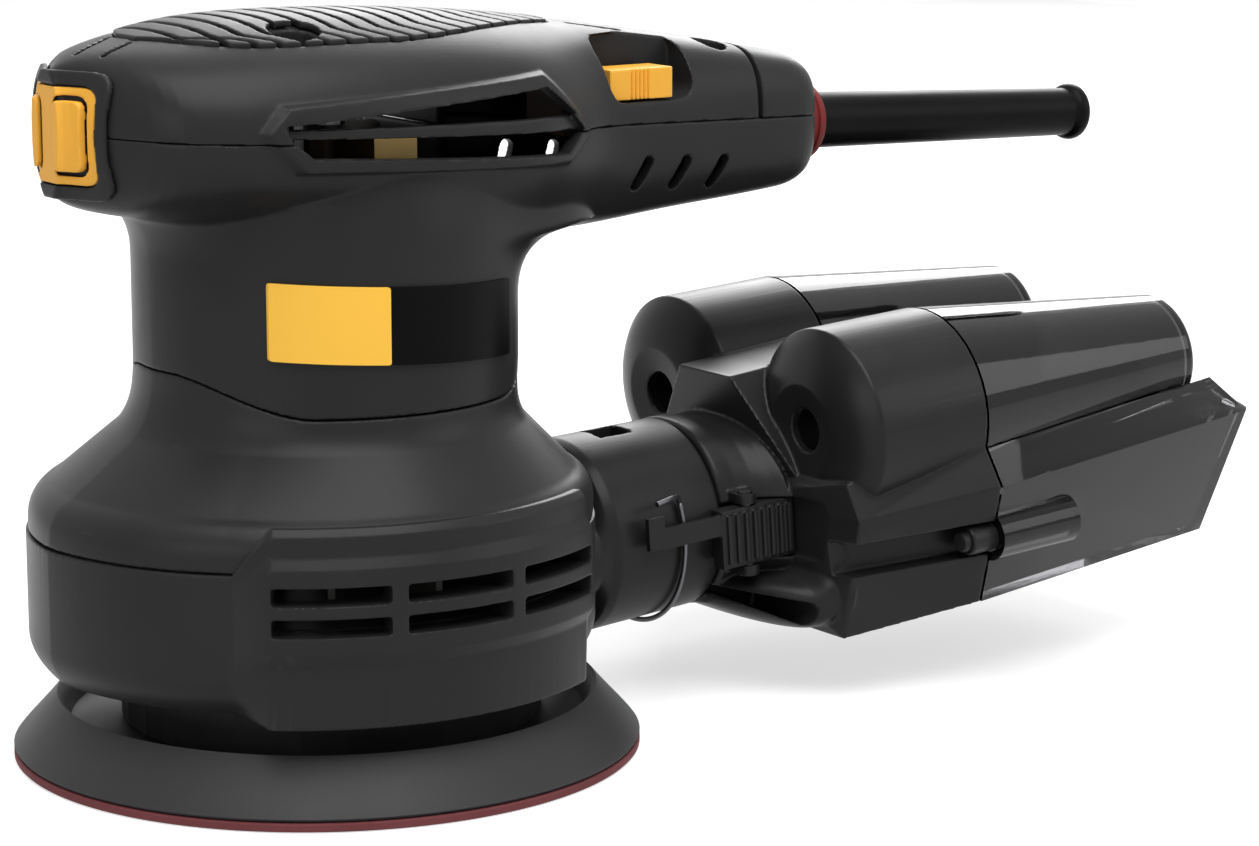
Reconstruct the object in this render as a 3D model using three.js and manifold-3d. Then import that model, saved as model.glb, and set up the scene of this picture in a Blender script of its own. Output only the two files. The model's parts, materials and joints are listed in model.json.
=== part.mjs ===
// Random-orbit palm sander with a twin-cyclone dust collector.
// Millimetres, +Z up, +X towards the cord, origin at the centre of the abrasive face.
// Every sub-part is one named closed mesh; pieces that touch keep the running gap `fit`.

import * as THREE from 'three';
import { mergeVertices } from 'three/addons/utils/BufferGeometryUtils.js';
import { ParametricGeometry } from 'three/addons/geometries/ParametricGeometry.js';
import Module from 'manifold-3d';

const wasm = await Module();
wasm.setup();

// ------------------------------------------------------------------ driving dimensions

const fit = 0.3; // gap between neighbouring pieces
const wall = 2.4; // moulded wall thickness

// Sanding pad
const discRadius = 62.5;
const discThickness = 1.7;
const padRimRadius = 54.3;
const padRimHeight = 12.3;
const padFloorHeight = 7;
const dustHoleRadius = 5;
const dustHoleCircle = 32.5;
const dustHoleCount = 8;
const padHubRadius = 13;
const padLip = 4.5;
const padScrewHead = 6.5;
const padScrewShank = 2.5;
const padScrewSeat = 5.7; // height of the underside of the pad's web over the screw head

// Drive line
const orbitRadius = 1; // throw of the eccentric
const spindleX = orbitRadius; // the motor axis stands this far behind the pad's own axis
const shaftRadius = 4;
const padBearing = { inner: 5, outer: 13, low: 15, high: 23 };
const fanRadius = 42;
const fanHubRadius = 16.5;
const fanDisc = { low: 34.5, high: 36.5 };
const fanLower = { count: 8, inner: 24, bottom: 25 };
const fanUpper = { count: 12, inner: 18, top: 44 };
const counterweight = { outer: 22.5, halfAngle: 80, low: 24 };
const chamberFloor = { low: 20.5, high: 22.7, opening: 30 };
const brakeRing = { inner: 38, outer: 42, overPad: 0.6 };

// Skirt and shoulder
const skirtRadius = 55.5;
const skirtCentreX = -2.3;
const skirtBottom = 20;
const skirtTop = 47;
const skirtTuck = 3.4; // the lower edge is drawn in by this much
const keelDepth = 3; // the front edge stands out by this much
const keelHalfAngle = 42;
const shoulderTopSide = 72.5; // height of the neck joint at the sides
const shoulderTopFront = 79.5; // and at the front
const shoulderTopRear = 76;

// Side vent panels on the skirt
const panelDepth = 2.7;
const panelBottom = 18.5;
const panelTop = 56.5;
const panelMiddle = 92.5; // degrees round from the rear
const panelHalfAngle = 36;
const panelBevelAngle = 8;
const panelBandDepth = 1.4;
const panelBandLow = 33;
const panelBandHigh = 49;
const panelBandSlope = 2.4;
const grilleSlotHeight = 3.4;
const grilleSlotPitch = 6;
const grilleTop = 45.8;
const grilleColumns = 3;
const grilleBarAngle = 3.1;

// Neck, head and handle
const neckRadius = 37.7;
const headRear = 115.5;
const headFront = -57.5;
const partingHeight = 124.4; // height of the cover joint over the origin
const partingFall = 0.038; // and its fall per millimetre rearwards
const clearAbove = partingHeight + 40; // a height over the whole head, where cutting tools end

const ventRimHeight = 1.3;
const handleSlotX = 64.5;
const handleSlotZ = partingHeight - 12.6;
const handleSlotPitch = 10.2;
const handleSlotCount = 3;
const handleSlotWidth = 2.6;
const handleSlotLength = 7.4;
const grooveX = 94.6;

// Ribbed grip
const gripFront = -42;
const gripRear = 49;
const gripHalf = 25;
const gripDepth = 1.1;
const gripProud = 0.5;
const gripGrooveDepth = 0.9;
const gripPitch = 4.8;
const gripGroove = 1.1;

// Switch recess and slider
const recessLeft = 54.5;
const recessRight = 77.5;
const recessLow = partingHeight + 2;
const recessHigh = partingHeight + 15.2;
const recessFloor = -10;
const sliderLow = recessLow + 0.5;
const slider = { front: 1.5, length: 15.2, height: 6.2, thick: 8.7, ribs: 5, ribPitch: 1, ribStart: 5.2 };
const switchBox = { overhang: 1, below: 8, above: 5, back: 8, gap: 2 };

// Cover screws
const frontScrewX = -16;
const frontScrewY = 18.5;
const rearScrewX = 88.5;
const rearScrewY = 7;
const frontWellRadius = 4.6;
const rearWellRadius = 3.6;
const screwShank = 1.7;
const screwSeatRise = 6;
const bossLength = 8;

// Motor
const statorRadius = 30;
const statorBore = 18.5;
const statorYoke = 4;
const statorLow = 66;
const statorHigh = partingHeight - 20.4;
const coilOverhang = 6;
const coilHalfAngle = 35;
const armatureRadius = 17.8;
const armatureSlots = 12;
const windingRadius = 16;
const windingHeight = 7.5;
const commutatorRadius = 11;
const commutatorHeight = 10.7;
const brush = { width: 6.4, height: 8, length: 12 };
const brushHolderLength = 14.5;
const bracketPlate = { low: 48.5, thick: 2.4 };
const bracketHole = { radius: 7, circle: 32, count: 6 };
const brushPlate = { thick: 2, outer: 33 };
const lowerBearing = { inner: 5, outer: 13, low: 45, high: 53 };
const upperBearing = { inner: 4, outer: 9.5, low: partingHeight + 3.6, high: partingHeight + 9.6 };

// Cord sleeve
const cordHeight = partingHeight - 8.8;
const sleeveRadius = 5.5;
const sleeveEnd = 195;
const sleeveTip = 5;
const cordRadius = 3.4;
const grommetRadius = 8.2;
const grommetLength = 3.5;
const sleeveFlange = { proud: 1.3, from: 12, to: 9.5 }; // stands behind the housing's end wall
const sleeveBead = { proud: 1.1, length: 3 };

// Bumper on the nose
const bumperWidth = 29;
const bumperHeight = 24;
const bumperZ = partingHeight + 1.9;
const bumperBand = 2.7;
const bumperProud = 1.5;
const bumperReach = { before: 12.5, behind: 13.5 }; // how far its cutting window spans the nose

// Name-plate fields on the neck, left bare
const plateFront = -26.8;
const plateSplit = -5.8;
const plateRear = 24.5;
const plateHeight = 15.6;
const plateMiddle = (shoulderTopSide + partingHeight - 14.2) / 2; // between the shoulder and the head
const plateLow = plateMiddle - plateHeight / 2;
const plateFall = 0.057;
const plateThick = 0.5;

// Dust port and collector, drawn along the port's own axis
const portTilt = 3.9;
const portHeight = 31;
const portFlange = 20.5;
const portEnd = 85.5;
const portEndRadius = 18.5;
const portBore = 16;
const spigotStart = 62;
const spigotWall = 2.2;
const collarHeight = 30.2;
const collarRadius = 17.8;
const collectorWall = 2;
const cycloneRadius = 20.7;
const cycloneSpread = 26;
const cycloneHeight = 49.5;
const cycloneFront = 104;
const cycloneShoulder = 115.5;
const cycloneNose = 10.5;
const cycloneAirHole = 5.5;
const cycloneRear = 201.7;
const cycloneTip = 13.3;
const seam = 135.8;
const bodyHalf = { bottom: 42, widest: 50.5, shoulder: 46 };
const bodyLevel = { bottom: 9, widest: 35.5, shoulder: 43 };
const binEnd = { // corners of the slanted rear wall: half width, height and place along the axis
  bottom: { half: 36.5, level: 10.5, at: 205.5 },
  widest: { half: 48.5, level: 39, at: 209 },
  shoulder: { half: 38, level: 45, at: 208 },
};
const binEdge = 1.8; // bevel round the rear wall
const bodyFront = 98.5;
const bodyFull = 103.5; // the six-sided section is reached here,
const bodyTaper = { half: 0.86, drop: 2.6 }; // drawn in and lowered against the seam
const catchHeight = 24;
const catchRadius = 3.1;
const catchOut = 45;
const catchFront = seam - 8.3;
const channelFront = 98.5;
const channelDepth = { front: 35, rear: catchOut - catchRadius - fit };
const socketLength = 21.2;
const socketEnd = seam + socketLength;
// Hull under the collar
const chin = { front: portEnd + fit + 0.2, full: 99, half: 15, rise: 12.4, keel: 6.8, top: 20, lift: 4 };
const scoop = { front: 86.8, rear: 95.8, level: 14.6, fall: 3, height: 3.6, out: 14 };
const web = { front: 89, crest: 97, low: 45, top: 59.5, rear: 61, half: 9 }; // between the two cyclone caps
const latchPivot = 90;
const latchOut = 22.6;
const latchFront = 64.5;
const latchDip = 1.7; // room behind the thumb block for its swing
const latchThumb = { from: 82.5, to: 101, low: 23.2, high: 35.6, thick: 3.8, ribs: 8, ribProud: 0.9 };
const latchBar = { thick: 1.4, armDrop: 5.2, armInset: 0.8, width: 4, low: portHeight - 0.4, high: portHeight + 6.5 };
const latchPinRadius = 1.3;
const wireRadius = 0.6;

// ------------------------------------------------------------------ geometry helpers

const material = (color, roughness = 0.6, metalness = 0) =>
  new THREE.MeshStandardMaterial({ color, roughness, metalness });

const finish = {
  shellBlack: material(0x2b2c2e, 0.55),
  rubberBlack: material(0x17181a, 0.85),
  yellow: material(0xf2a71b, 0.5),
  red: material(0xa32a2c, 0.6),
  steel: material(0xb9bcc0, 0.3, 0.9),
  darkSteel: material(0x6c6f73, 0.4, 0.8),
  copper: material(0xb8652f, 0.35, 0.9),
  brass: material(0xc9a24b, 0.35, 0.9),
  carbon: material(0x2a2a2a, 0.8),
  clear: material(0x8b9096, 0.15),
  insulation: material(0x6b4a2b, 0.6),
};

const lerp = THREE.MathUtils.lerp;
const smooth = THREE.MathUtils.smoothstep;
const radians = THREE.MathUtils.degToRad;

/** Merge shared vertices, drop collapsed triangles and turn the faces outwards. */
function solid(geometry) {
  const bare = geometry.clone();
  bare.deleteAttribute('normal');
  bare.deleteAttribute('uv');
  const merged = mergeVertices(bare, 1e-4);
  const points = merged.attributes.position;
  const index = merged.index.array;
  const corner = (i) => new THREE.Vector3().fromBufferAttribute(points, i);
  const triangles = [];
  let volume = 0;
  for (let i = 0; i < index.length; i += 3) {
    const [a, b, c] = [index[i], index[i + 1], index[i + 2]];
    if (a === b || b === c || c === a) continue;
    triangles.push(a, b, c);
    volume += corner(a).dot(corner(b).cross(corner(c)));
  }
  const triVerts = new Uint32Array(triangles);
  if (volume < 0) triVerts.reverse();
  return new wasm.Manifold(
    new wasm.Mesh({ numProp: 3, vertProperties: new Float32Array(points.array), triVerts })
  );
}

/** Turn a boolean result back into a three.js geometry. */
function geometryOf(manifold) {
  const mesh = manifold.getMesh();
  const geometry = new THREE.BufferGeometry();
  geometry.setAttribute('position', new THREE.BufferAttribute(mesh.vertProperties, 3));
  geometry.setIndex(new THREE.BufferAttribute(mesh.triVerts, 1));
  return geometry;
}

const join = (first, ...others) => others.reduce((sum, next) => sum.add(next), first);
const cut = (first, ...others) => others.reduce((rest, next) => rest.subtract(next), first);
const common = (first, ...others) => others.reduce((rest, next) => rest.intersect(next), first);

/** Evenly spaced angles for one turn. */
const evenTurns = (count) => Array.from({ length: count }, (_, i) => (i / count) * 2 * Math.PI);

/** Closed solid through rows of points; `row(angle)` gives a point for each of the angles. */
function loft(rows, angles) {
  const last = rows.length + 1;
  const centre = (row) => {
    const sum = angles.reduce((total, angle) => total.add(row(angle)), new THREE.Vector3());
    return sum.divideScalar(angles.length);
  };
  const start = centre(rows[0]);
  const end = centre(rows[rows.length - 1]);
  const surface = (u, v, target) => {
    const row = Math.round(v * last);
    if (row === 0) return target.copy(start);
    if (row === last) return target.copy(end);
    return target.copy(rows[row - 1](angles[Math.round(u * angles.length) % angles.length]));
  };
  return solid(new ParametricGeometry(surface, angles.length, last));
}

/** A wall that closes on itself: each row goes once round, and the last row meets the first. */
function ringLoft(rows, angles) {
  const surface = (u, v, target) => {
    const row = rows[Math.round(v * rows.length) % rows.length];
    return target.copy(row(angles[Math.round(u * angles.length) % angles.length]));
  };
  return solid(new ParametricGeometry(surface, angles.length, rows.length));
}

/** Solid of revolution about +Z from [radius, height] pairs that start and end on the axis. */
function turned(profile, segments = 32) {
  const points = profile.map(([r, z]) => new THREE.Vector2(r, z));
  return new THREE.LatheGeometry(points, segments).rotateX(Math.PI / 2);
}

/** Ring of revolution about +Z between two radii and two heights. */
function tube(inner, outer, low, high, segments = 32) {
  return turned([[inner, low], [outer, low], [outer, high], [inner, high], [inner, low]], segments);
}

/** Cylinder about +Z between two heights. */
function rod(radius, low, high, segments = 32) {
  return turned([[0, low], [radius, low], [radius, high], [0, high]], segments);
}

/** Box from its lowest to its highest corner. */
function block(low, high) {
  const size = high.map((value, i) => value - low[i]);
  const middle = high.map((value, i) => (value + low[i]) / 2);
  return new THREE.BoxGeometry(...size).translate(...middle);
}

/** Shape from [x, y] corners. */
const outline = (corners) => new THREE.Shape(corners.map(([x, y]) => new THREE.Vector2(x, y)));

/** Rectangle with round corners, centred on the origin. */
function roundedRectangle(width, height, radius) {
  const [w, h] = [width / 2 - radius, height / 2 - radius];
  const shape = new THREE.Shape();
  shape.absarc(w, h, radius, 0, Math.PI / 2);
  shape.absarc(-w, h, radius, Math.PI / 2, Math.PI);
  shape.absarc(-w, -h, radius, Math.PI, 1.5 * Math.PI);
  shape.absarc(w, -h, radius, 1.5 * Math.PI, 2 * Math.PI);
  return shape;
}

/** Straight extrusion of a shape, from `low` to `high` along +Z. */
function prism(shape, low, high, curveSegments = 6) {
  const options = { depth: high - low, bevelEnabled: false, curveSegments };
  return new THREE.ExtrudeGeometry(shape, options).translate(0, 0, low);
}

/** Prism whose shape is drawn in X and Z, and which runs along Y. */
const sidePrism = (shape, low, high, segments) =>
  prism(shape, low, high, segments).rotateX(Math.PI / 2).scale(1, -1, 1);

/** Prism whose shape is drawn in Y and Z, and which runs along X. */
const frontPrism = (shape, low, high, segments) =>
  prism(shape, low, high, segments).rotateX(Math.PI / 2).rotateZ(Math.PI / 2);

/** Radius of a drawn [radius, height] line at a height. */
function radiusOn(path, divisions) {
  const points = path.getSpacedPoints(divisions);
  return (z) => {
    const upper = points.findIndex((p) => p.y >= z);
    if (upper < 0) return points[points.length - 1].x;
    if (upper === 0) return points[0].x;
    const [a, b] = [points[upper - 1], points[upper]];
    return lerp(a.x, b.x, (z - a.y) / (b.y - a.y));
  };
}

// ------------------------------------------------------------------ assembly bookkeeping

const sander = new THREE.Group();

function add(name, shape, colour, parent = sander) {
  const geometry = shape instanceof THREE.BufferGeometry ? shape : geometryOf(shape);
  const mesh = new THREE.Mesh(geometry, colour);
  mesh.name = name;
  parent.add(mesh);
  return mesh;
}

// ------------------------------------------------------------------ body: a keeled round wall

/** How much of the front keel is felt at an angle: 1 at the front edge, 0 away from it. */
const keelShare = (angle) => Math.max(0, 1 - (Math.PI - Math.abs(angle)) / radians(keelHalfAngle));

/** Depth of the keel at a height: it thins out up the neck. */
const keelAt = (z) => lerp(keelDepth, keelDepth / 3, smooth(z, skirtTop, shoulderTopFront));

/** Point on the body at an angle: a circle that comes to a blunt edge at the front. */
function bodyPoint(angle, radius, z, centreX) {
  const r = radius + keelAt(z) * keelShare(angle);
  return new THREE.Vector3(centreX + r * Math.cos(angle), r * Math.sin(angle), z);
}

/** Angles from the rear round to the front, with columns at the edges of panel and keel. */
function bodyAngles() {
  const stops = [
    [0, 3], [panelMiddle - panelHalfAngle - panelBevelAngle, 1], [panelMiddle - panelHalfAngle, 6],
    [panelMiddle + panelHalfAngle, 1], [panelMiddle + panelHalfAngle + panelBevelAngle, 3], [180, 0],
  ];
  const half = [];
  stops.slice(0, -1).forEach(([from, steps], i) => {
    for (let k = 0; k < steps; k++) half.push(lerp(from, stops[i + 1][0], k / steps));
  });
  const otherHalf = half.slice(1).reverse().map((angle) => -angle);
  return [...half, 180, ...otherHalf].map(radians);
}

const columns = bodyAngles();
/** Every other column, and all of them near the front edge: enough for inner walls. */
const fewColumns = columns.filter((angle, i) => i % 2 === 0 || Math.abs(angle) > radians(130));

/** Plate that follows the body's keeled outline between two heights. */
const bodyPlate = (radius, low, high, angles = columns) =>
  loft([low, high].map((z) => (angle) => bodyPoint(angle, radius, z, skirtCentreX)), angles);

/** Height of the joint between neck and shoulder. */
function neckJoint(angle) {
  const fromFront = Math.PI - Math.abs(angle);
  const front = 1 - smooth(fromFront, radians(8), radians(58));
  const rear = 1 - smooth(Math.abs(angle), radians(10), radians(60));
  return shoulderTopSide + front * (shoulderTopFront - shoulderTopSide)
    + rear * (shoulderTopRear - shoulderTopSide);
}

const shoulderFoot = skirtRadius - fit - 0.1;
const shoulderLine = new THREE.Path();
shoulderLine.moveTo(shoulderFoot, skirtTop);
shoulderLine.lineTo(shoulderFoot, skirtTop + 3);
shoulderLine.quadraticCurveTo(shoulderFoot, skirtTop + 7.5, shoulderFoot - 4, skirtTop + 9.5);
shoulderLine.lineTo(neckRadius + 2.4, shoulderTopSide - 6);
shoulderLine.quadraticCurveTo(neckRadius, shoulderTopSide - 3, neckRadius, shoulderTopSide + 3);
const shoulderRadius = radiusOn(shoulderLine, 80);
const bodyCentre = (z) => lerp(skirtCentreX, spindleX, smooth(z, skirtTop, shoulderTopSide + 8));

function shoulderCover() {
  const row = (inset) => (share) => (angle) => {
    const z = lerp(skirtTop + fit, neckJoint(angle), share);
    return bodyPoint(angle, shoulderRadius(z) - inset, z, bodyCentre(z));
  };
  const outside = [0, 0.12, 0.22, 0.3, 0.4, 0.78, 0.88, 1].map(row(0));
  const inside = [1, 0.78, 0.35, 0.15, 0].map(row(wall));
  return ringLoft([...outside, ...inside], columns);
}

// ------------------------------------------------------------------ skirt with its vent panels

/** 1 on the vent panel of the -Y side, 0 away from it, and in between on its slanted ends. */
function panelShare(angle) {
  const away = Math.abs(THREE.MathUtils.radToDeg(angle) + panelMiddle);
  return THREE.MathUtils.clamp(1 - (away - panelHalfAngle) / panelBevelAngle, 0, 1);
}

/** Wall of the skirt: plain profile and panel profile, blended column by column. */
function skirtWall() {
  const face = skirtRadius + panelDepth;
  const band = face + panelBandDepth;
  const inner = skirtRadius - wall;
  // Each line: plain radius and height, then panel radius and height.
  const profile = [
    [skirtRadius - skirtTuck, skirtBottom, face, panelBottom],
    [skirtRadius - skirtTuck / 3, skirtBottom + 2.6, face, panelBottom + 2.6],
    [skirtRadius, skirtBottom + 7, face, panelBandLow - panelBandSlope],
    [skirtRadius, panelBandLow, band, panelBandLow],
    [skirtRadius, skirtTop - 1.5, band, panelBandHigh],
    [skirtRadius, skirtTop - 1, face, panelBandHigh + panelBandSlope],
    [skirtRadius, skirtTop - 0.5, face, panelTop - 1.5],
    [skirtRadius, skirtTop, face - 1.2, panelTop],
    [skirtRadius, skirtTop, skirtRadius, panelTop],
    [skirtRadius, skirtTop, skirtRadius, skirtTop],
    [inner, skirtTop, inner, skirtTop],
    [inner, skirtBottom + 7, inner, skirtBottom + 7],
    [inner - skirtTuck, skirtBottom, inner, panelBottom],
  ];
  const rows = profile.map(([plainR, plainZ, panelR, panelZ]) => (angle) => {
    const share = panelShare(angle);
    const radius = lerp(plainR, panelR, share);
    return bodyPoint(angle, radius, lerp(plainZ, panelZ, share), skirtCentreX);
  });
  return ringLoft(rows, columns);
}

/** One grille slot: an arc block through the wall. */
function grilleSlot(side, column, row) {
  const grilleColumnAngle = (2 * panelHalfAngle - 1 - grilleBarAngle * (grilleColumns - 1)) / grilleColumns;
  const offset = (column - (grilleColumns - 1) / 2) * (grilleColumnAngle + grilleBarAngle);
  const middle = side * (panelMiddle + offset);
  const top = grilleTop - row * grilleSlotPitch;
  const shape = new THREE.Shape();
  const [inner, outer] = [skirtRadius - 2 * wall, skirtRadius + 3 * wall];
  const from = radians(middle - grilleColumnAngle / 2);
  const to = radians(middle + grilleColumnAngle / 2);
  shape.absarc(0, 0, outer, from, to, false);
  shape.absarc(0, 0, inner, to, from, true);
  return solid(prism(shape, top - grilleSlotHeight, top, 8).translate(skirtCentreX, 0, 0));
}

// ------------------------------------------------------------------ head and handle

// Stations along the head: half width, rise over the parting height and drop below it.
const headStations = [-57.5, -52.5, -47.5, -40, -25, 5, 30, 55, 80, 105, 122];
const headValues = [
  [4, 15.6, 11.9], [15.5, 16.6, 12.9], [25, 17.6, 13.9], [31, 19.2, 15.4], [35.3, 21.6, 18.4],
  [37.2, 21.9, 20.4], [34, 20.4, 23.4], [21.5, 17.6, 24.4], [17.6, 13.9, 22.2],
  [14.5, 9.4, 20.1], [12, 6.1, 18.4],
];
const headLine = new THREE.CubicInterpolant(headStations, headValues.flat(), 3);
const noseRound = { length: 9, end: 0.8 };
const tailRound = { length: 9, end: 0.7 };
const headSquareness = 2.35;
const headFacets = 24;

const parting = (x) => partingHeight - partingFall * x;

/** Shrink of a section inside a rounded end, 1 where the end is not reached. */
function endShare(distance, round) {
  if (distance >= round.length) return 1;
  const s = 1 - distance / round.length;
  return 1 - (1 - round.end) * (1 - Math.sqrt(1 - s * s));
}

/** Section of the head at x, drawn in by `inset`. */
function headSection(x, inset) {
  const [half, rise, drop] = headLine.evaluate(x);
  const [top, bottom] = [partingHeight + rise, partingHeight - drop];
  const tail = endShare(headRear - x, tailRound);
  const share = endShare(x - headFront, noseRound) * tail;
  const middle = lerp(parting(x), (top + bottom) / 2, 0.5);
  const shrink = (value) => middle + (value - middle) * share;
  return { half: half * tail - inset, top: shrink(top) - inset, bottom: shrink(bottom) + inset };
}

/** The whole head and handle as one solid, grown or drawn in by `inset`. */
function headForm(inset, coarse = false) {
  const squeeze = 2 / headSquareness;
  const power = (value) => Math.sign(value) * Math.abs(value) ** squeeze;
  const row = (x) => {
    const { half, top, bottom } = headSection(x, inset);
    const level = parting(x);
    const at = lerp(headFront + inset, headRear - inset, (x - headFront) / (headRear - headFront));
    return (angle) => {
      const [c, s] = [power(Math.cos(angle)), power(Math.sin(angle))];
      const z = level + s * (s > 0 ? top - level : level - bottom);
      return new THREE.Vector3(at, half * c, z);
    };
  };
  const nose = (coarse ? [0, 8] : [0, 1.2, 4.5, 9.5]).map((d) => headFront + d);
  const length = coarse ? [-40, -20, 5, 30, 44, 62, 94] : [-40, -28, -10, 8, 24, 38, 50, 66, 86];
  const tail = (coarse ? [7, 0] : [9, 4, 1, 0]).map((d) => headRear - d);
  return loft([...nose, ...length, ...tail].map(row), evenTurns(coarse ? headFacets / 2 : headFacets));
}

// The neck flares into the underside of the head.
const flareRear = { low: partingHeight - 33.4, height: 12, reach: 22 };
const flareFront = { low: partingHeight - 23.4, height: 12, reach: 14 };
const neckTop = partingHeight - 5.4;
const neckRows = [2, 7, 11, 16, 20].map((rise) => flareRear.low + rise);
const neckStraight = lerp(shoulderTopFront + fit, neckRows[0], 0.5);

function flare(z, { low, height, reach }) {
  const s = THREE.MathUtils.clamp((z - low) / height, 0, 1);
  return reach * (1 - Math.sqrt(1 - s * s));
}

function neckRadiusAt(angle, z) {
  const c = Math.cos(angle);
  const rear = c > 0 ? c ** 6 * flare(z, flareRear) : 0;
  const front = c < 0 ? c ** 4 * flare(z, flareFront) : 0;
  return shoulderRadius(z) - 1.4 * smooth(z, flareFront.low + 3, neckTop) + rear + front;
}

function neckForm(inset, bottomAt) {
  const row = (share, height) => (angle) => {
    const z = height ?? lerp(bottomAt(angle), neckStraight, share);
    return bodyPoint(angle, neckRadiusAt(angle, z) - inset, z, bodyCentre(z));
  };
  const low = (inset > 0 ? [0, 1] : [0, 0.5, 1]).map((share) => row(share));
  return loft([...low, ...[...neckRows, neckTop].map((z) => row(0, z))], inset > 0 ? fewColumns : columns);
}

const bodyOuter = join(headForm(0), neckForm(0, (angle) => neckJoint(angle) + fit));
const headInner = headForm(wall, true);
const headMiddle = headForm(wall / 2, true); // ends what stands on the inside of the wall
const bodyInner = join(headInner, neckForm(wall, () => shoulderTopSide - 4));

/** A skin over the head between two growths of its surface, inside a cutting prism. */
const headSkin = (innerGrowth, outerGrowth, ...prisms) =>
  common(cut(headForm(-outerGrowth), headForm(-innerGrowth)), ...prisms);

/** Everything above (side 1) or below (side -1) the cover joint. */
function partingHalf(side) {
  const size = 400;
  const box = new THREE.BoxGeometry(size, size, size).translate(0, 0, (side * (size + fit)) / 2);
  return solid(box.rotateY(Math.atan(partingFall)).translate(0, 0, partingHeight));
}

// ------------------------------------------------------------------ features of head and handle

// Corners of the side vents: place along the head and height over the parting height.
const ventOuter = [[-31.5, 2.6], [-26.5, 8.2], [31.5, 11.2], [46.5, -1.8], [38.5, -7.2], [-24.5, -4.8]];
const ventUpper = [[-23, 4.2], [30.5, 7.6], [39, 0.4], [-8, 2.2]];
const ventLower = [[-23.5, 0], [41, -3.2], [37, -4.4], [-22, -2]];
const fromParting = (corners) => outline(corners.map(([x, rise]) => [x, partingHeight + rise]));

/** Raised rim and the two openings of one side vent. */
function sideVent(side) {
  const [near, far] = side < 0 ? [-60, -18] : [18, 60];
  const rim = common(headSkin(-0.4, ventRimHeight), solid(sidePrism(fromParting(ventOuter), near, far)));
  const openings = [ventUpper, ventLower].map((corners) => solid(sidePrism(fromParting(corners), near, far)));
  return { rim, openings };
}

/** Slanted air slots low on the handle. */
function handleSlot(index, side) {
  const slot = prism(roundedRectangle(handleSlotWidth, handleSlotLength, handleSlotWidth / 2 - 0.01), -6, 6, 2)
    .rotateX(Math.PI / 2)
    .rotateY(radians(24));
  const x = handleSlotX + index * handleSlotPitch;
  return solid(slot.translate(x, side * (17 - index * 1.5), handleSlotZ - index * 0.6));
}

/** Opening of the switch recess, seen from the side. */
function switchRecessShape(grow = 0) {
  const shape = new THREE.Shape();
  const [left, right] = [recessLeft - grow, recessRight + grow];
  const [low, high] = [recessLow - grow, recessHigh + grow];
  shape.moveTo(left + 1, low);
  shape.lineTo(right, low);
  shape.quadraticCurveTo(right, high, right - 10, high);
  shape.lineTo(left - 1.5, high);
  shape.quadraticCurveTo(left - 0.5, (low + high) / 2, left + 1, low);
  return shape;
}

/** Plan of the ribbed grip: blunt at the front, drawn out to the rear. */
function gripShape(grow = 0) {
  const shape = new THREE.Shape();
  const [front, rear, half] = [gripFront - grow, gripRear + grow, gripHalf + grow];
  shape.moveTo(front, -4);
  shape.bezierCurveTo(front + 8, -half, front + 18, -half, 0, -half);
  shape.quadraticCurveTo(28, -half, rear, -7);
  shape.lineTo(rear, 7);
  shape.quadraticCurveTo(28, half, 0, half);
  shape.bezierCurveTo(front + 18, half, front + 8, half, front, 4);
  return shape;
}

const coverScrews = [
  [frontScrewX, -frontScrewY], [frontScrewX, frontScrewY], [rearScrewX, -rearScrewY], [rearScrewX, rearScrewY],
];

/** Depth at which a cover screw's head sits. */
const screwSeat = (x) => parting(x) + screwSeatRise;

/** Hole for a screw head, open to the top. */
function screwWell([x, y]) {
  const radius = x > 0 ? rearWellRadius : frontWellRadius;
  return solid(rod(radius, screwSeat(x), clearAbove, 16).translate(x, y, 0));
}

/** Boss that carries one screw, from `low` to `high`, bored for its shank. */
function screwBoss([x, y], low, high, radius) {
  return solid(tube(screwShank + fit, radius, low, high, 12).translate(x, y, 0));
}

// ------------------------------------------------------------------ top cover

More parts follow.
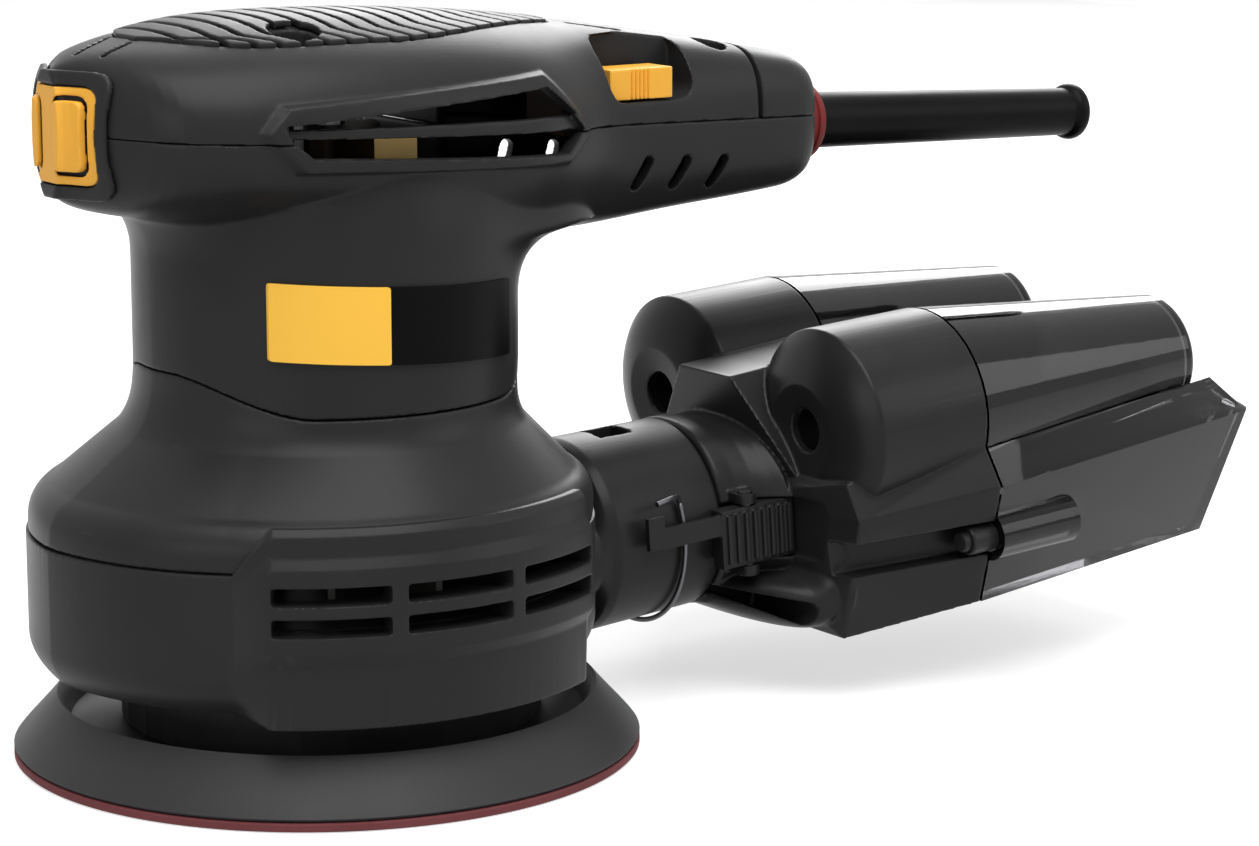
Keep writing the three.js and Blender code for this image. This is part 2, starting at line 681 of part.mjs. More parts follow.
function topCover() {
  const shell = cut(headForm(0), headInner);
  const recessBlock = solid(sidePrism(switchRecessShape(wall), -40, recessFloor + wall, 5));
  const recess = solid(sidePrism(switchRecessShape(), -40, recessFloor, 5));
  const seatRing = solid(tube(upperBearing.outer + fit, upperBearing.outer + 3, upperBearing.low - 1,
    partingHeight + headLine.evaluate(spindleX)[1] - wall + 0.4, 24).translate(spindleX, 0, 0));
  const bosses = coverScrews.map((at) =>
    screwBoss(at, parting(at[0]) + fit, screwSeat(at[0]) + 0.5, frontWellRadius + 1));
  const sleeves = coverScrews.map(([x, y]) => {
    const radius = (x > 0 ? rearWellRadius : frontWellRadius) + 1.4;
    return common(headMiddle, solid(rod(radius, screwSeat(x) - 1.6, clearAbove, 16).translate(x, y, 0)));
  });
  let body = join(shell, common(headMiddle, recessBlock), seatRing, ...sleeves);
  body = join(cut(body, ...coverScrews.map(screwWell)), ...bosses.map((boss) => common(boss, headMiddle)));
  const shankHoles = coverScrews.map(([x, y]) =>
    solid(rod(screwShank + fit, parting(x) - 1, clearAbove, 12).translate(x, y, 0)));
  const gripSeat = headSkin(-gripDepth, 6, solid(prism(gripShape(), partingHeight, clearAbove, 5)));
  body = cut(body, recess, gripSeat, ...shankHoles);
  for (const side of [-1, 1]) {
    const { rim, openings } = sideVent(side);
    body = cut(join(body, rim), ...openings);
  }
  const slotBox = block([recessLeft + 5.5, recessFloor - 2, sliderLow + 1.4],
    [recessRight - 2, recessFloor + 6, sliderLow + 5]);
  const groove = headSkin(-0.9, 6, solid(
    block([grooveX, -neckRadius, partingHeight - 14], [grooveX + 1, neckRadius, clearAbove])));
  const noseSlots = [-1, 1].map((side) => headSkin(-0.9, 4, solid(
    block([headFront + 5.5, -0.7, partingHeight + 5], [headFront + 14.5, 0.7, clearAbove])
      .rotateZ(side * radians(16)).translate(2, side * 6, 0))));
  body = cut(body, solid(slotBox), groove, ...noseSlots, cordBore());
  return common(body, partingHalf(1));
}

// ------------------------------------------------------------------ motor housing

function cordBore() {
  return solid(rod(sleeveRadius + fit, 0, 30, 20).rotateY(Math.PI / 2).translate(headRear - 20, 0, cordHeight));
}

const brushPlateLow = statorHigh + windingHeight;

function motorHousing() {
  const ribs = [45, 135, 225, 315].map((degrees) => {
    const rib = block([statorRadius + fit, -2, shoulderTopFront + 1],
      [neckRadius - wall * 0.6, 2, brushPlateLow - fit]);
    return solid(rib.rotateZ(radians(degrees)).translate(spindleX, 0, 0));
  });
  const bosses = coverScrews.map(([x, y]) => {
    const boss = solid(rod(frontWellRadius, parting(x) - bossLength, parting(x) + 3, 12).translate(x, y, 0));
    const web = solid(block([-1.2, 0, parting(x) - bossLength], [1.2, 30, parting(x) + 3])
      .rotateZ(y > 0 ? 0 : Math.PI).translate(x, y, 0));
    const bore = solid(rod(screwShank + fit, parting(x) - bossLength - 1, clearAbove, 12).translate(x, y, 0));
    return cut(common(join(boss, web), headMiddle), bore);
  });
  let body = join(cut(bodyOuter, bodyInner), ...ribs, ...bosses);
  for (const side of [-1, 1]) {
    const { rim, openings } = sideVent(side);
    body = cut(join(body, rim), ...openings);
    for (let i = 0; i < handleSlotCount; i++) body = cut(body, handleSlot(i, side));
  }
  return common(cut(body, cordBore()), partingHalf(-1));
}

// ------------------------------------------------------------------ trim on the head and neck

/** Soft grip in its seat: straight grooves across, one every pitch. */
function gripPad() {
  const pad = headSkin(fit - gripDepth, gripProud, solid(prism(gripShape(-fit), partingHeight, clearAbove, 5)));
  const grooves = [];
  for (let x = gripFront + 7; x < gripRear - 4; x += gripPitch) {
    grooves.push(solid(block([x, -gripHalf - 5, partingHeight], [x + gripGroove, gripHalf + 5, clearAbove])));
  }
  return cut(pad, common(join(...grooves), cut(headForm(-4), headForm(-gripProud + gripGrooveDepth))));
}

/** Rounded window across the nose, seen from the front. */
const bumperWindow = (width, height, radius, overrun = 0) => solid(frontPrism(
  roundedRectangle(width, height, radius), headFront - bumperReach.before - overrun,
  headFront + bumperReach.behind + overrun, 3).translate(0, 0, bumperZ));

function bumperFrame() {
  const ring = cut(bumperWindow(bumperWidth, bumperHeight, 5),
    bumperWindow(bumperWidth - 2 * bumperBand, bumperHeight - 2 * bumperBand, 3, 1));
  return headSkin(fit, bumperProud, ring);
}

function bumperInsert() {
  const gap = bumperBand + fit;
  const panel = headSkin(fit, bumperProud - 0.5, bumperWindow(bumperWidth - 2 * gap, bumperHeight - 2 * gap, 2.7));
  const pads = [-1, 1].map((side) =>
    headSkin(fit + 0.3, bumperProud + 0.4,
      bumperWindow(7.2, bumperHeight - 2 * gap - 3, 1.6).translate([0, side * 6.1, 0])));
  return join(panel, ...pads);
}

/** Bare plate field on the near side of the neck. */
function sidePlate(from, to) {
  const low = (x) => plateLow - plateFall * (x - plateFront);
  const corners = [[from, low(from)], [to, low(to)], [to, low(to) + plateHeight], [from, low(from) + plateHeight]];
  const skin = cut(neckForm(-fit - plateThick, () => shoulderTopSide), neckForm(-fit, () => shoulderTopSide));
  return common(skin, solid(sidePrism(outline(corners), -60, -10)));
}

/** Thumb slider of the switch with its stem through the recess wall. */
function switchSlider() {
  const front = recessLeft + slider.front;
  const plate = solid(block([front, recessFloor - slider.thick, sliderLow],
    [front + slider.length, recessFloor - fit, sliderLow + slider.height]));
  const stem = solid(block([recessLeft + 6.5, recessFloor - 1, sliderLow + 1.7],
    [recessLeft + 11, recessFloor + wall + switchBox.gap - 0.4, sliderLow + 4.7]));
  const ribs = Array.from({ length: slider.ribs }, (_, i) => {
    const x = front + slider.ribStart + i * slider.ribPitch;
    return solid(block([x, recessFloor - slider.thick - 0.5, sliderLow + 0.5],
      [x + slider.ribPitch / 2, recessFloor - slider.thick + 1, sliderLow + slider.height - 0.5]));
  });
  return join(plate, stem, ...ribs);
}

// ------------------------------------------------------------------ pad

function dustHoles(low, high) {
  return evenTurns(dustHoleCount).map((turn) => solid(rod(dustHoleRadius, low, high, 10)
    .translate(dustHoleCircle * Math.cos(turn), dustHoleCircle * Math.sin(turn), 0)));
}

function backingPad() {
  const low = discThickness + fit;
  const recess = padScrewHead + 1;
  const bore = padScrewShank + fit;
  const web = padScrewSeat + fit;
  const profile = [
    [recess, low], [discRadius, low], [padRimRadius, padRimHeight], [padRimRadius - padLip, padRimHeight],
    [padRimRadius - padLip - 1.5, padFloorHeight], [padHubRadius + 1.5, padFloorHeight], [padHubRadius, padRimHeight],
    [bore, padRimHeight], [bore, web], [recess, web], [recess, low],
  ];
  return cut(solid(turned(profile, 40)), ...dustHoles(0, 20));
}

// ------------------------------------------------------------------ motor and fan

/** Ball bearing as one ring, its shield set back between the two races. */
function bearing({ inner, outer, low, high }) {
  const race = (outer - inner) * 0.3;
  return turned([
    [inner, low], [outer, low], [outer, high], [outer - race, high], [outer - race, high - 0.7],
    [inner + race, high - 0.7], [inner + race, high], [inner, high], [inner, low],
  ], 20);
}

/** Blades of one face of the fan, standing between two heights. */
const fanBlades = ({ count, inner }, low, high) => evenTurns(count).map((turn) =>
  solid(block([inner, -0.7, low], [fanRadius - 1, 0.7, high]).rotateZ(turn)));

function fanWheel() {
  const hubLow = padBearing.low - 0.4;
  const hub = solid(rod(fanHubRadius, hubLow, fanDisc.high, 24));
  const disc = solid(rod(fanRadius, fanDisc.low, fanDisc.high, 32));
  const lower = fanBlades(fanLower, fanLower.bottom, fanDisc.low + 0.5);
  const upper = fanBlades(fanUpper, fanDisc.high - 0.5, fanUpper.top);
  const pocket = solid(rod(padBearing.outer + fit, hubLow - 1, padBearing.high + fit, 24)
    .translate(-orbitRadius, 0, 0));
  const bore = solid(rod(shaftRadius + fit, padBearing.high + wall, fanDisc.high + 1, 16));
  return cut(join(hub, disc, ...lower, ...upper), pocket, bore).translate([spindleX, 0, 0]);
}

/** Prism of an arc between two radii, about the direction `middle` in degrees. */
function arcBlock(inner, outer, middle, halfAngle, low, high) {
  const shape = new THREE.Shape();
  const [from, to] = [radians(middle - halfAngle), radians(middle + halfAngle)];
  shape.absarc(0, 0, outer, from, to, false);
  shape.absarc(0, 0, inner, to, from, true);
  return prism(shape, low, high, 6).translate(spindleX, 0, 0);
}

/** Laminated core of the armature: teeth with open slots between them. */
function armatureCore() {
  const shape = new THREE.Shape();
  const step = (2 * Math.PI) / armatureSlots;
  const root = armatureRadius - 5;
  const tooth = [[armatureRadius, -0.38], [armatureRadius, 0], [armatureRadius, 0.38], [root, 0.3], [root, 0.7]];
  evenTurns(armatureSlots).flatMap((turn) => tooth.map(([r, share]) => [r, turn + share * step]))
    .forEach(([r, turn], i) => shape[i ? 'lineTo' : 'moveTo'](r * Math.cos(turn), r * Math.sin(turn)));
  const bore = new THREE.Path();
  bore.absarc(0, 0, shaftRadius + fit, 0, 2 * Math.PI, true);
  shape.holes.push(bore);
  return prism(shape, statorLow + 1, statorHigh - 1, 6).translate(spindleX, 0, 0);
}

/** Ring of end turns, rounded at its free edge. */
function winding(low, high) {
  const inner = shaftRadius + 4;
  return turned([
    [inner, low], [windingRadius - 2, low], [windingRadius, low + 2], [windingRadius, high - 2],
    [windingRadius - 2, high], [inner, high], [inner, low],
  ], 20).translate(spindleX, 0, 0);
}

function statorCore() {
  const ring = solid(tube(statorBore, statorRadius, statorLow, statorHigh, 28).translate(spindleX, 0, 0));
  const window = (middle) => solid(arcBlock(statorBore + 1.5, statorRadius - statorYoke, middle,
    coilHalfAngle + 1, statorLow - 1, statorHigh + 1));
  return cut(ring, window(90), window(-90));
}

const fieldCoil = (middle) => arcBlock(statorBore + 1.5 + fit, statorRadius - statorYoke - fit, middle, coilHalfAngle,
  statorLow - coilOverhang, statorHigh + coilOverhang);

function bearingBracket() {
  const outer = shoulderFoot - wall - fit - 0.3;
  const { low, thick } = bracketPlate;
  const hollow = bodyPlate(outer - wall, skirtTop, low, fewColumns);
  const plate = cut(bodyPlate(outer, skirtTop + fit, low + thick), hollow);
  const bossHigh = lowerBearing.high + fit + wall;
  const boss = solid(rod(lowerBearing.outer + fit + wall, lowerBearing.low - 0.2, bossHigh, 24));
  const pocket = solid(rod(lowerBearing.outer + fit, lowerBearing.low - 1, lowerBearing.high + fit, 24));
  const passage = solid(rod(shaftRadius + 2, lowerBearing.low, bossHigh + 1, 16));
  const airHoles = evenTurns(bracketHole.count).map((turn) => solid(rod(bracketHole.radius, low - 1, low + thick + 1, 10)
    .translate(bracketHole.circle * Math.cos(turn), bracketHole.circle * Math.sin(turn), 0)));
  const move = (shape) => shape.translate([spindleX, 0, 0]);
  return cut(join(plate, move(boss)), ...[pocket, passage, ...airHoles].map(move));
}

/** Shroud that parts the cooling air from the dust chamber round the fan's edge. */
function fanShroud() {
  const opening = solid(rod(fanRadius + 1.5, fanDisc.low - 1, fanDisc.high + 1, 32).translate(spindleX, 0, 0));
  return cut(bodyPlate(skirtRadius - wall - fit - 0.1, fanDisc.low, fanDisc.high), opening);
}

function brushHolder(side) {
  const { width, height } = brush;
  const from = commutatorRadius + 1.5;
  const outer = block([-width / 2 - 1.5, from, commutatorMiddle - height / 2 - 1.1],
    [width / 2 + 1.5, from + brushHolderLength, commutatorMiddle + height / 2 + 1.1]);
  const inner = block([-width / 2 - fit, from - 1, commutatorMiddle - height / 2 - fit],
    [width / 2 + fit, from + brushHolderLength - 1.2, commutatorMiddle + height / 2 + fit]);
  return cut(solid(outer), solid(inner)).scale([1, side, 1]).translate([spindleX, 0, 0]);
}

function carbonBrush(side) {
  const from = commutatorRadius + fit;
  const [width, height] = [brush.width / 2, brush.height / 2];
  return solid(block([-width, from, commutatorMiddle - height], [width, from + brush.length, commutatorMiddle + height]))
    .scale([1, side, 1]).translate([spindleX, 0, 0]);
}

/** Machine screw along -Z whose head's underside lies at `seat`. */
function screw(headRadius, headHeight, shank, seat, tip) {
  const head = solid(turned([
    [0, tip], [shank, tip], [shank, seat], [headRadius, seat], [headRadius, seat + headHeight - 0.4],
    [headRadius - 0.4, seat + headHeight], [0, seat + headHeight],
  ], 10));
  return cut(head, solid(rod(headRadius * 0.45, seat + headHeight * 0.4, seat + headHeight + 1, 6)));
}

// ------------------------------------------------------------------ dust port

const portGroupTurn = -radians(portTilt);

/** Closed tube along the port's axis: rows of [u, half width, middle height, half height]. */
function ductForm(rows, segments = 28, squareness = 2) {
  const power = (value) => Math.sign(value) * Math.abs(value) ** (2 / squareness);
  const row = ([u, half, middle, rise]) => (angle) =>
    new THREE.Vector3(u, half * power(Math.cos(angle)), middle + rise * power(Math.sin(angle)));
  return loft(rows.map(row), evenTurns(segments));
}

/** Cylinder along the port's axis. */
const alongPort = (radius, from, to, v, w, segments = 24) =>
  solid(rod(radius, from, to, segments).rotateY(Math.PI / 2).translate(0, v, w));

function skirtHousing() {
  let body = skirtWall();
  const { low, high, opening } = chamberFloor;
  const floorEdge = skirtRadius - skirtTuck + 0.3;
  const floorRow = (radius, z, keeled) => (angle) => (keeled ? bodyPoint(angle, radius, z, skirtCentreX)
    : new THREE.Vector3(spindleX + radius * Math.cos(angle), radius * Math.sin(angle), z));
  const floor = ringLoft([floorRow(floorEdge, low, true), floorRow(floorEdge, high, true),
    floorRow(opening, high, false), floorRow(opening, low, false)], columns);
  const turn = (shape) => shape.rotate([0, -portTilt, 0]);
  const root = skirtCentreX + skirtRadius;
  const neckMiddleHeight = (skirtTop + skirtBottom) / 2 - 3.7;
  const port = turn(ductForm([
    [root - 7, 20, neckMiddleHeight, 12.4], [root + 2.3, 20, neckMiddleHeight, 12.4],
    [root + 4.6, portFlange - 0.6, portHeight, portFlange - 0.6], [root + 6.6, portFlange, portHeight, portFlange],
    [root + 14.6, portFlange, portHeight, portFlange], [portEnd, portEndRadius, portHeight, portEndRadius],
  ], 24));
  const inside = bodyPlate(skirtRadius - wall / 2, 0, 60);
  const duct = turn(ductForm([
    [root - 12, 14, 26, 6.5], [root + 3, 14, 26, 6.5], [spigotStart, portBore, portHeight, portBore],
    [portEnd + 1, portBore, portHeight, portBore],
  ], 24));
  body = join(body, floor, cut(port, inside));
  body = cut(body, duct, turn(solid(block([67, -4, portHeight + 10], [75, 4, portHeight + 30]))));
  for (const side of [-1, 1]) {
    for (let column = 0; column < grilleColumns; column++) {
      for (const row of [0, 1]) body = cut(body, grilleSlot(side, column, row));
    }
  }
  return body;
}

// ------------------------------------------------------------------ dust collector

/**
 * Six-sided section of the collector, drawn in by `inset`, as [v, w] corners. `share` shrinks it about
 * its widest level, and `taper` is 1 at the front of the body and 0 at the seam.
 */
function collectorCorners(inset, share = 1, taper = 0) {
  const { bottom, widest, shoulder } = bodyHalf;
  const level = bodyLevel;
  const right = [
    [bottom - inset, level.bottom + inset], [widest - inset, level.widest],
    [shoulder - inset, level.shoulder - inset],
  ];
  const narrow = share * lerp(1, bodyTaper.half, taper);
  const placed = right.map(([v, w]) =>
    [v * narrow, level.widest + (w - level.widest) * share - bodyTaper.drop * taper]);
  return [...placed, ...placed.map(([v, w]) => [-v, w]).reverse()];
}

/** Loft of the six-sided section through [u, inset, share, taper] rows. */
function collectorForm(rows) {
  const row = ([u, inset, share, taper]) => {
    const corners = collectorCorners(inset, share, taper);
    return (angle) => {
      const [v, w] = corners[Math.round((angle / (2 * Math.PI)) * corners.length) % corners.length];
      return new THREE.Vector3(u, v, w);
    };
  };
  return loft(rows.map(row), evenTurns(6));
}

/** Cone or cylinder of one cyclone, through [u, radius] rows. */
const cycloneForm = (side, rows, segments = 24) =>
  solid(turned([[0, rows[0][0]], ...rows.map(([u, r]) => [r, u]), [0, rows[rows.length - 1][0]]], segments)
    .rotateY(Math.PI / 2).translate(0, side * cycloneSpread, cycloneHeight));

const cycloneOuter = (side, grow, from, to) => {
  const radiusAt = (u) => lerp(cycloneRadius, cycloneTip, Math.max(0, (u - seam) / (cycloneRear - seam)));
  return cycloneForm(side, [[from, radiusAt(from) + grow], [to, radiusAt(to) + grow]]);
};

/** Hull under the collar: it swells from the port to the full width of the body. */
function chinForm() {
  const row = (u, half, low, top) => [u, half, (top + low) / 2, (top - low) / 2];
  const rows = [0, 0.2, 0.45, 0.7, 1].map((share) => {
    const swell = Math.sin((share * Math.PI) / 2);
    return row(lerp(chin.front, chin.full, share), lerp(chin.half, bodyHalf.bottom * bodyTaper.half, swell),
      lerp(chin.rise, chin.keel, swell), chin.top + (share === 1 ? chin.lift : 0));
  });
  rows.push(row(bodyFull + 1, lerp(bodyHalf.bottom, bodyHalf.widest, 0.5) * bodyTaper.half,
    bodyLevel.bottom - bodyTaper.drop, bodyLevel.widest - bodyTaper.drop));
  return ductForm(rows, 20, 3.2);
}

/** Slanted air scoop in the side of the chin. */
function scoopCut(side) {
  const length = scoop.rear - scoop.front;
  const slot = sidePrism(roundedRectangle(length, scoop.height, scoop.height / 2 - 0.01), scoop.out, bodyHalf.bottom, 4)
    .rotateY(Math.atan2(scoop.fall, length));
  return solid(slot.translate(scoop.front + length / 2, 0, scoop.level)).scale([1, side, 1]);
}

function dustHead() {
  const rear = seam - fit / 2;
  const openEnd = (inset) => rear + (inset > 0 ? 1 : 0);
  const shell = (inset) => collectorForm([
    [bodyFront + inset, inset + 1, 0.42, 1], [lerp(bodyFront, bodyFull, 0.45) + inset, inset, 0.78, 1],
    [bodyFull + inset / 2, inset, 1, 1], [openEnd(inset), inset, 1, 0],
  ]);
  const cap = (side, inset) => {
    const arc = (inset > 0 ? [0, 0.5, 1] : [0, 0.25, 0.5, 0.75, 1]).map((share) => {
      const turn = (share * Math.PI) / 2;
      return [lerp(cycloneFront, cycloneShoulder, 1 - Math.cos(turn)) + inset * Math.cos(turn),
        lerp(cycloneNose, cycloneRadius, Math.sin(turn)) - inset];
    });
    return cycloneForm(side, [...arc, [openEnd(inset), cycloneRadius - inset]], inset > 0 ? 16 : 24);
  };
  const collar = alongPort(collarRadius, portEnd + fit, bodyFull, 0, collarHeight);
  const spigot = alongPort(portBore - fit - 0.1, spigotStart + 1, portEnd + 2, 0, portHeight);
  const bridge = solid(sidePrism(outline([
    [web.front, web.low], [web.crest, web.top], [cycloneShoulder, web.rear], [rear, web.rear], [rear, web.low],
  ]), -web.half, web.half));
  const halfChannel = catchRadius + 2 * fit;
  // Plan of the catch's channel: its back follows the tapered side wall.
  const channelPlan = (front, grow) => outline([
    [front - grow, channelDepth.front - grow], [rear + (grow ? 0 : 1), channelDepth.rear - grow],
    [rear + (grow ? 0 : 1), 2 * bodyHalf.widest], [front - grow, 2 * bodyHalf.widest],
  ]);
  const backing = (side) => common(shell(0), solid(prism(channelPlan(channelFront, collectorWall),
    catchHeight - halfChannel - collectorWall, catchHeight + halfChannel + collectorWall)).scale([1, side, 1]));
  const channel = (side) => join(
    solid(prism(channelPlan(channelFront + halfChannel, 0), catchHeight - halfChannel, catchHeight + halfChannel)),
    solid(rod(halfChannel, channelDepth.front, 2 * bodyHalf.widest, 16).rotateX(-Math.PI / 2)
      .translate(channelFront + halfChannel, 0, catchHeight)),
  ).scale([1, side, 1]);
  const throat = alongPort(portBore - fit - spigotWall, spigotStart, bodyFull + 4, 0, portHeight);
  const airHole = (side) =>
    alongPort(cycloneAirHole, cycloneFront - 1, cycloneShoulder, side * cycloneSpread, cycloneHeight, 12);
  let body = join(shell(0), cap(1, 0), cap(-1, 0), collar, spigot, bridge, chinForm());
  body = cut(body, shell(collectorWall), cap(1, collectorWall), cap(-1, collectorWall), airHole(1), airHole(-1));
  body = join(body, backing(1), backing(-1), common(join(shell(0), chinForm()), latchPocket(collectorWall)));
  body = join(cut(body, channel(1), channel(-1), latchPocket(0)), latchLug(-1), latchLug(1));
  return cut(body, latchPinForm(fit), throat, scoopCut(1), scoopCut(-1));
}

/** Room for the latch's thumb block, which dips inwards when it is pressed. */
const latchPocket = (grow) => solid(block(
  [latchThumb.from - grow, -bodyHalf.widest, latchThumb.low - fit - grow],
  [latchThumb.to + fit + grow, latchThumb.thick - latchOut - latchBar.thick + latchDip + grow, latchThumb.high + fit + grow]));

/** Lug of the collar that carries one end of the latch pin. */
function latchLug(end) {
  const w = end < 0 ? latchThumb.low - fit - wall : latchThumb.high + fit;
  return solid(block([latchPivot - 3, -latchOut - 1.6, w], [latchPivot + 3, -10, w + wall]));
}

const latchPinForm = (grow) => solid(
  rod(latchPinRadius + grow, latchThumb.low - fit - wall, latchThumb.high + fit + wall, 12)
    .translate(latchPivot, -latchOut + 0.3, 0));

/** Latch: ribbed thumb block, arm and the cross bar that reaches over the port's flange. */
function latchLever() {
  const { from, to, low, high, thick, ribs, ribProud } = latchThumb;
  const back = -latchOut + 0.2;
  const face = back - latchBar.thick;
  const thumb = solid(block([from, face - 0.4, low], [to, face - 0.4 + thick, high]));
  const arm = solid(block([latchFront + latchBar.width - 1, face, high - latchBar.armDrop],
    [from + 1, back, high - latchBar.armInset]));
  const bar = solid(block([latchFront, face, latchBar.low], [latchFront + latchBar.width, back, latchBar.high]));
  const pitch = (to - from - 2) / (ribs - 0.5);
  const grips = Array.from({ length: ribs }, (_, i) => solid(block(
    [from + 1 + i * pitch, face - 0.4 - ribProud, low + 1], [from + 1 + (i + 0.5) * pitch, face, high - 1])));
  return cut(join(thumb, arm, bar, ...grips), latchPinForm(fit));
}

/** Wire bail round the near side of the port's flange, from its underside up to the latch. */
function catchWire() {
  const radius = portFlange + fit + wireRadius;
  const row = (share) => (angle) => {
    const turn = radians(lerp(-196, -90, share));
    const r = radius + wireRadius * Math.cos(angle);
    return new THREE.Vector3(latchFront + 2 + wireRadius * Math.sin(angle), r * Math.cos(turn),
      portHeight + r * Math.sin(turn));
  };
  return loft(Array.from({ length: 11 }, (_, i) => row(i / 10)), evenTurns(6));
}

/** Sprung pin that locks the bin: it slides forward in its channel to let the bin go. */
function binCatch(side) {
  const pin = alongPort(catchRadius, catchFront, seam + 6, side * catchOut, catchHeight, 14);
  const collar = alongPort(catchRadius - 0.9, catchFront - 1.6, catchFront + 1, side * catchOut, catchHeight, 14);
  return join(pin, collar);
}

/** Six-sided form of the bin, drawn in by `inset`, from its open front to its slanted rear wall. */
function binForm(inset) {
  const front = seam + fit / 2 - (inset > 0 ? 1 : 0);
  const start = collectorCorners(inset).map(([v, w]) => new THREE.Vector3(front, v, w));
  const rearWall = (drawn) => {
    const { bottom, widest, shoulder } = binEnd;
    const half = [
      [bottom.at - inset, bottom.half - drawn, bottom.level + drawn],
      [widest.at - inset, widest.half - drawn, widest.level],
      [shoulder.at - inset, shoulder.half - drawn, shoulder.level - drawn],
    ];
    return [...half, ...half.map(([u, v, w]) => [u, -v, w]).reverse()].map((corner) => new THREE.Vector3(...corner));
  };
  const end = rearWall(inset);
  const edge = start.map((point, i) => point.clone().lerp(end[i], 1 - binEdge / (binEnd.bottom.at - front)));
  const row = (points) => (angle) => points[Math.round((angle / (2 * Math.PI)) * points.length) % points.length];
  return loft([start, edge, rearWall(inset + binEdge)].map(row), evenTurns(6));
}

function dustBin() {
  const front = seam + fit / 2;
  const troughs = (grow) => [-1, 1].map((side) => cycloneOuter(side, grow, front - 2, binEnd.widest.at + 4));
  const outer = cut(binForm(0), ...troughs(fit));
  const inner = cut(binForm(collectorWall), ...troughs(fit + collectorWall));
  const socket = (side) =>
    alongPort(catchRadius + fit + collectorWall, front, socketEnd, side * catchOut, catchHeight, 14);
  const bore = (side) =>
    alongPort(catchRadius + fit, front - 1, socketEnd - collectorWall, side * catchOut, catchHeight, 14);
  return cut(join(cut(outer, inner), socket(-1), socket(1)), bore(-1), bore(1));
}

function cycloneTube(side) {
  const front = seam + fit / 2;
  return cut(cycloneOuter(side, 0, front, cycloneRear), cycloneOuter(side, -1.6, front - 1, cycloneRear - 1.6));
}

// ------------------------------------------------------------------ pieces

const commutatorMiddle = brushPlateLow + brushPlate.thick + fit + commutatorHeight / 2;
const aboutSpindle = (geometry) => geometry.translate(spindleX, 0, 0);

// Pad, turning on its own axis
add('abrasive_disc', cut(solid(rod(discRadius, 0, discThickness, 40)), ...dustHoles(-1, 3)), finish.darkSteel);
add('backing_pad', backingPad(), finish.rubberBlack);
add('pad_spindle', turned([
  [padScrewShank + fit, padRimHeight + fit], [8, padRimHeight + fit], [8, padBearing.low - fit],
  [padBearing.inner - fit, padBearing.low - fit], [padBearing.inner - fit, padBearing.high - fit], [0, padBearing.high - fit],
  [0, padBearing.high - 2], [padScrewShank + fit, padBearing.high - 2], [padScrewShank + fit, padRimHeight + fit],
], 20), finish.steel);
add('pad_screw', screw(padScrewHead, 2.7, padScrewShank, -padScrewSeat, -padBearing.high + 2.4).scale([1, 1, -1]),
  finish.darkSteel);

// Rotor, turning on the motor axis
add('pad_bearing', bearing(padBearing), finish.steel);
add('fan', fanWheel(), finish.insulation);
add('counterweight', arcBlock(fanHubRadius + fit, counterweight.outer, 0, counterweight.halfAngle,
  counterweight.low, fanDisc.low - fit), finish.brass);
add('rotor_shaft', aboutSpindle(rod(shaftRadius, padBearing.high + wall + fit, upperBearing.high + 2, 16)), finish.steel);
add('armature_core', armatureCore(), finish.darkSteel);
add('winding_lower', winding(statorLow + 1 - fit - windingHeight, statorLow + 1 - fit), finish.copper);
add('winding_upper', winding(statorHigh - 1 + fit, statorHigh - 1 + fit + windingHeight), finish.copper);
add('commutator', aboutSpindle(tube(shaftRadius + fit, commutatorRadius, commutatorMiddle - commutatorHeight / 2,
  commutatorMiddle + commutatorHeight / 2, 24)), finish.brass);

// Motor, held in the housing
add('lower_bearing', aboutSpindle(bearing({ ...lowerBearing, inner: shaftRadius + fit })), finish.steel);
add('upper_bearing', aboutSpindle(bearing({ ...upperBearing, inner: shaftRadius + fit })), finish.steel);
add('bearing_bracket', bearingBracket(), finish.darkSteel);
add('fan_shroud', fanShroud(), finish.shellBlack);
add('stator_core', statorCore(), finish.darkSteel);
add('field_coil_left', fieldCoil(90), finish.copper);
add('field_coil_right', fieldCoil(-90), finish.copper);
add('brush_bracket', aboutSpindle(tube(commutatorRadius + 1.5, brushPlate.outer, brushPlateLow, brushPlateLow + brushPlate.thick, 32)),
  finish.insulation);
[['left', 1], ['right', -1]].forEach(([name, side]) => {
  add(`brush_holder_${name}`, brushHolder(side), finish.brass);
  add(`carbon_brush_${name}`, carbonBrush(side), finish.carbon);
});
add('pad_brake_ring', aboutSpindle(tube(brakeRing.inner, brakeRing.outer, padFloorHeight + brakeRing.overPad,
  chamberFloor.low - fit, 28)), finish.rubberBlack);

// Housing
add('skirt_housing', skirtHousing(), finish.shellBlack);
add('shoulder_cover', shoulderCover(), finish.shellBlack);
add('motor_housing', motorHousing(), finish.shellBlack);
add('top_cover', topCover(), finish.shellBlack);
add('grip_pad', gripPad(), finish.rubberBlack);
add('bumper_frame', bumperFrame(), finish.rubberBlack);
add('bumper_insert', bumperInsert(), finish.yellow);
add('side_plate_front', sidePlate(plateFront, plateSplit), finish.yellow);
add('side_plate_rear', sidePlate(plateSplit + fit, plateRear), finish.shellBlack);
coverScrews.forEach((at, i) => {
  const seat = screwSeat(at[0]) + 0.5 + fit;
  const head = (at[0] > 0 ? rearWellRadius : frontWellRadius) - fit - 0.3;
  add(`cover_screw_${i + 1}`, screw(head, 2.6, screwShank, seat, parting(at[0]) - bossLength + 1)
    .translate([at[0], at[1], 0]), finish.darkSteel);
});

// Switch
add('switch_slider', switchSlider(), finish.yellow);
add('switch_body', solid(block(
  [recessLeft - switchBox.overhang, recessFloor + wall + fit + switchBox.gap, sliderLow - switchBox.below],
  [recessRight + switchBox.overhang, switchBox.back, sliderLow + switchBox.above])), finish.insulation);

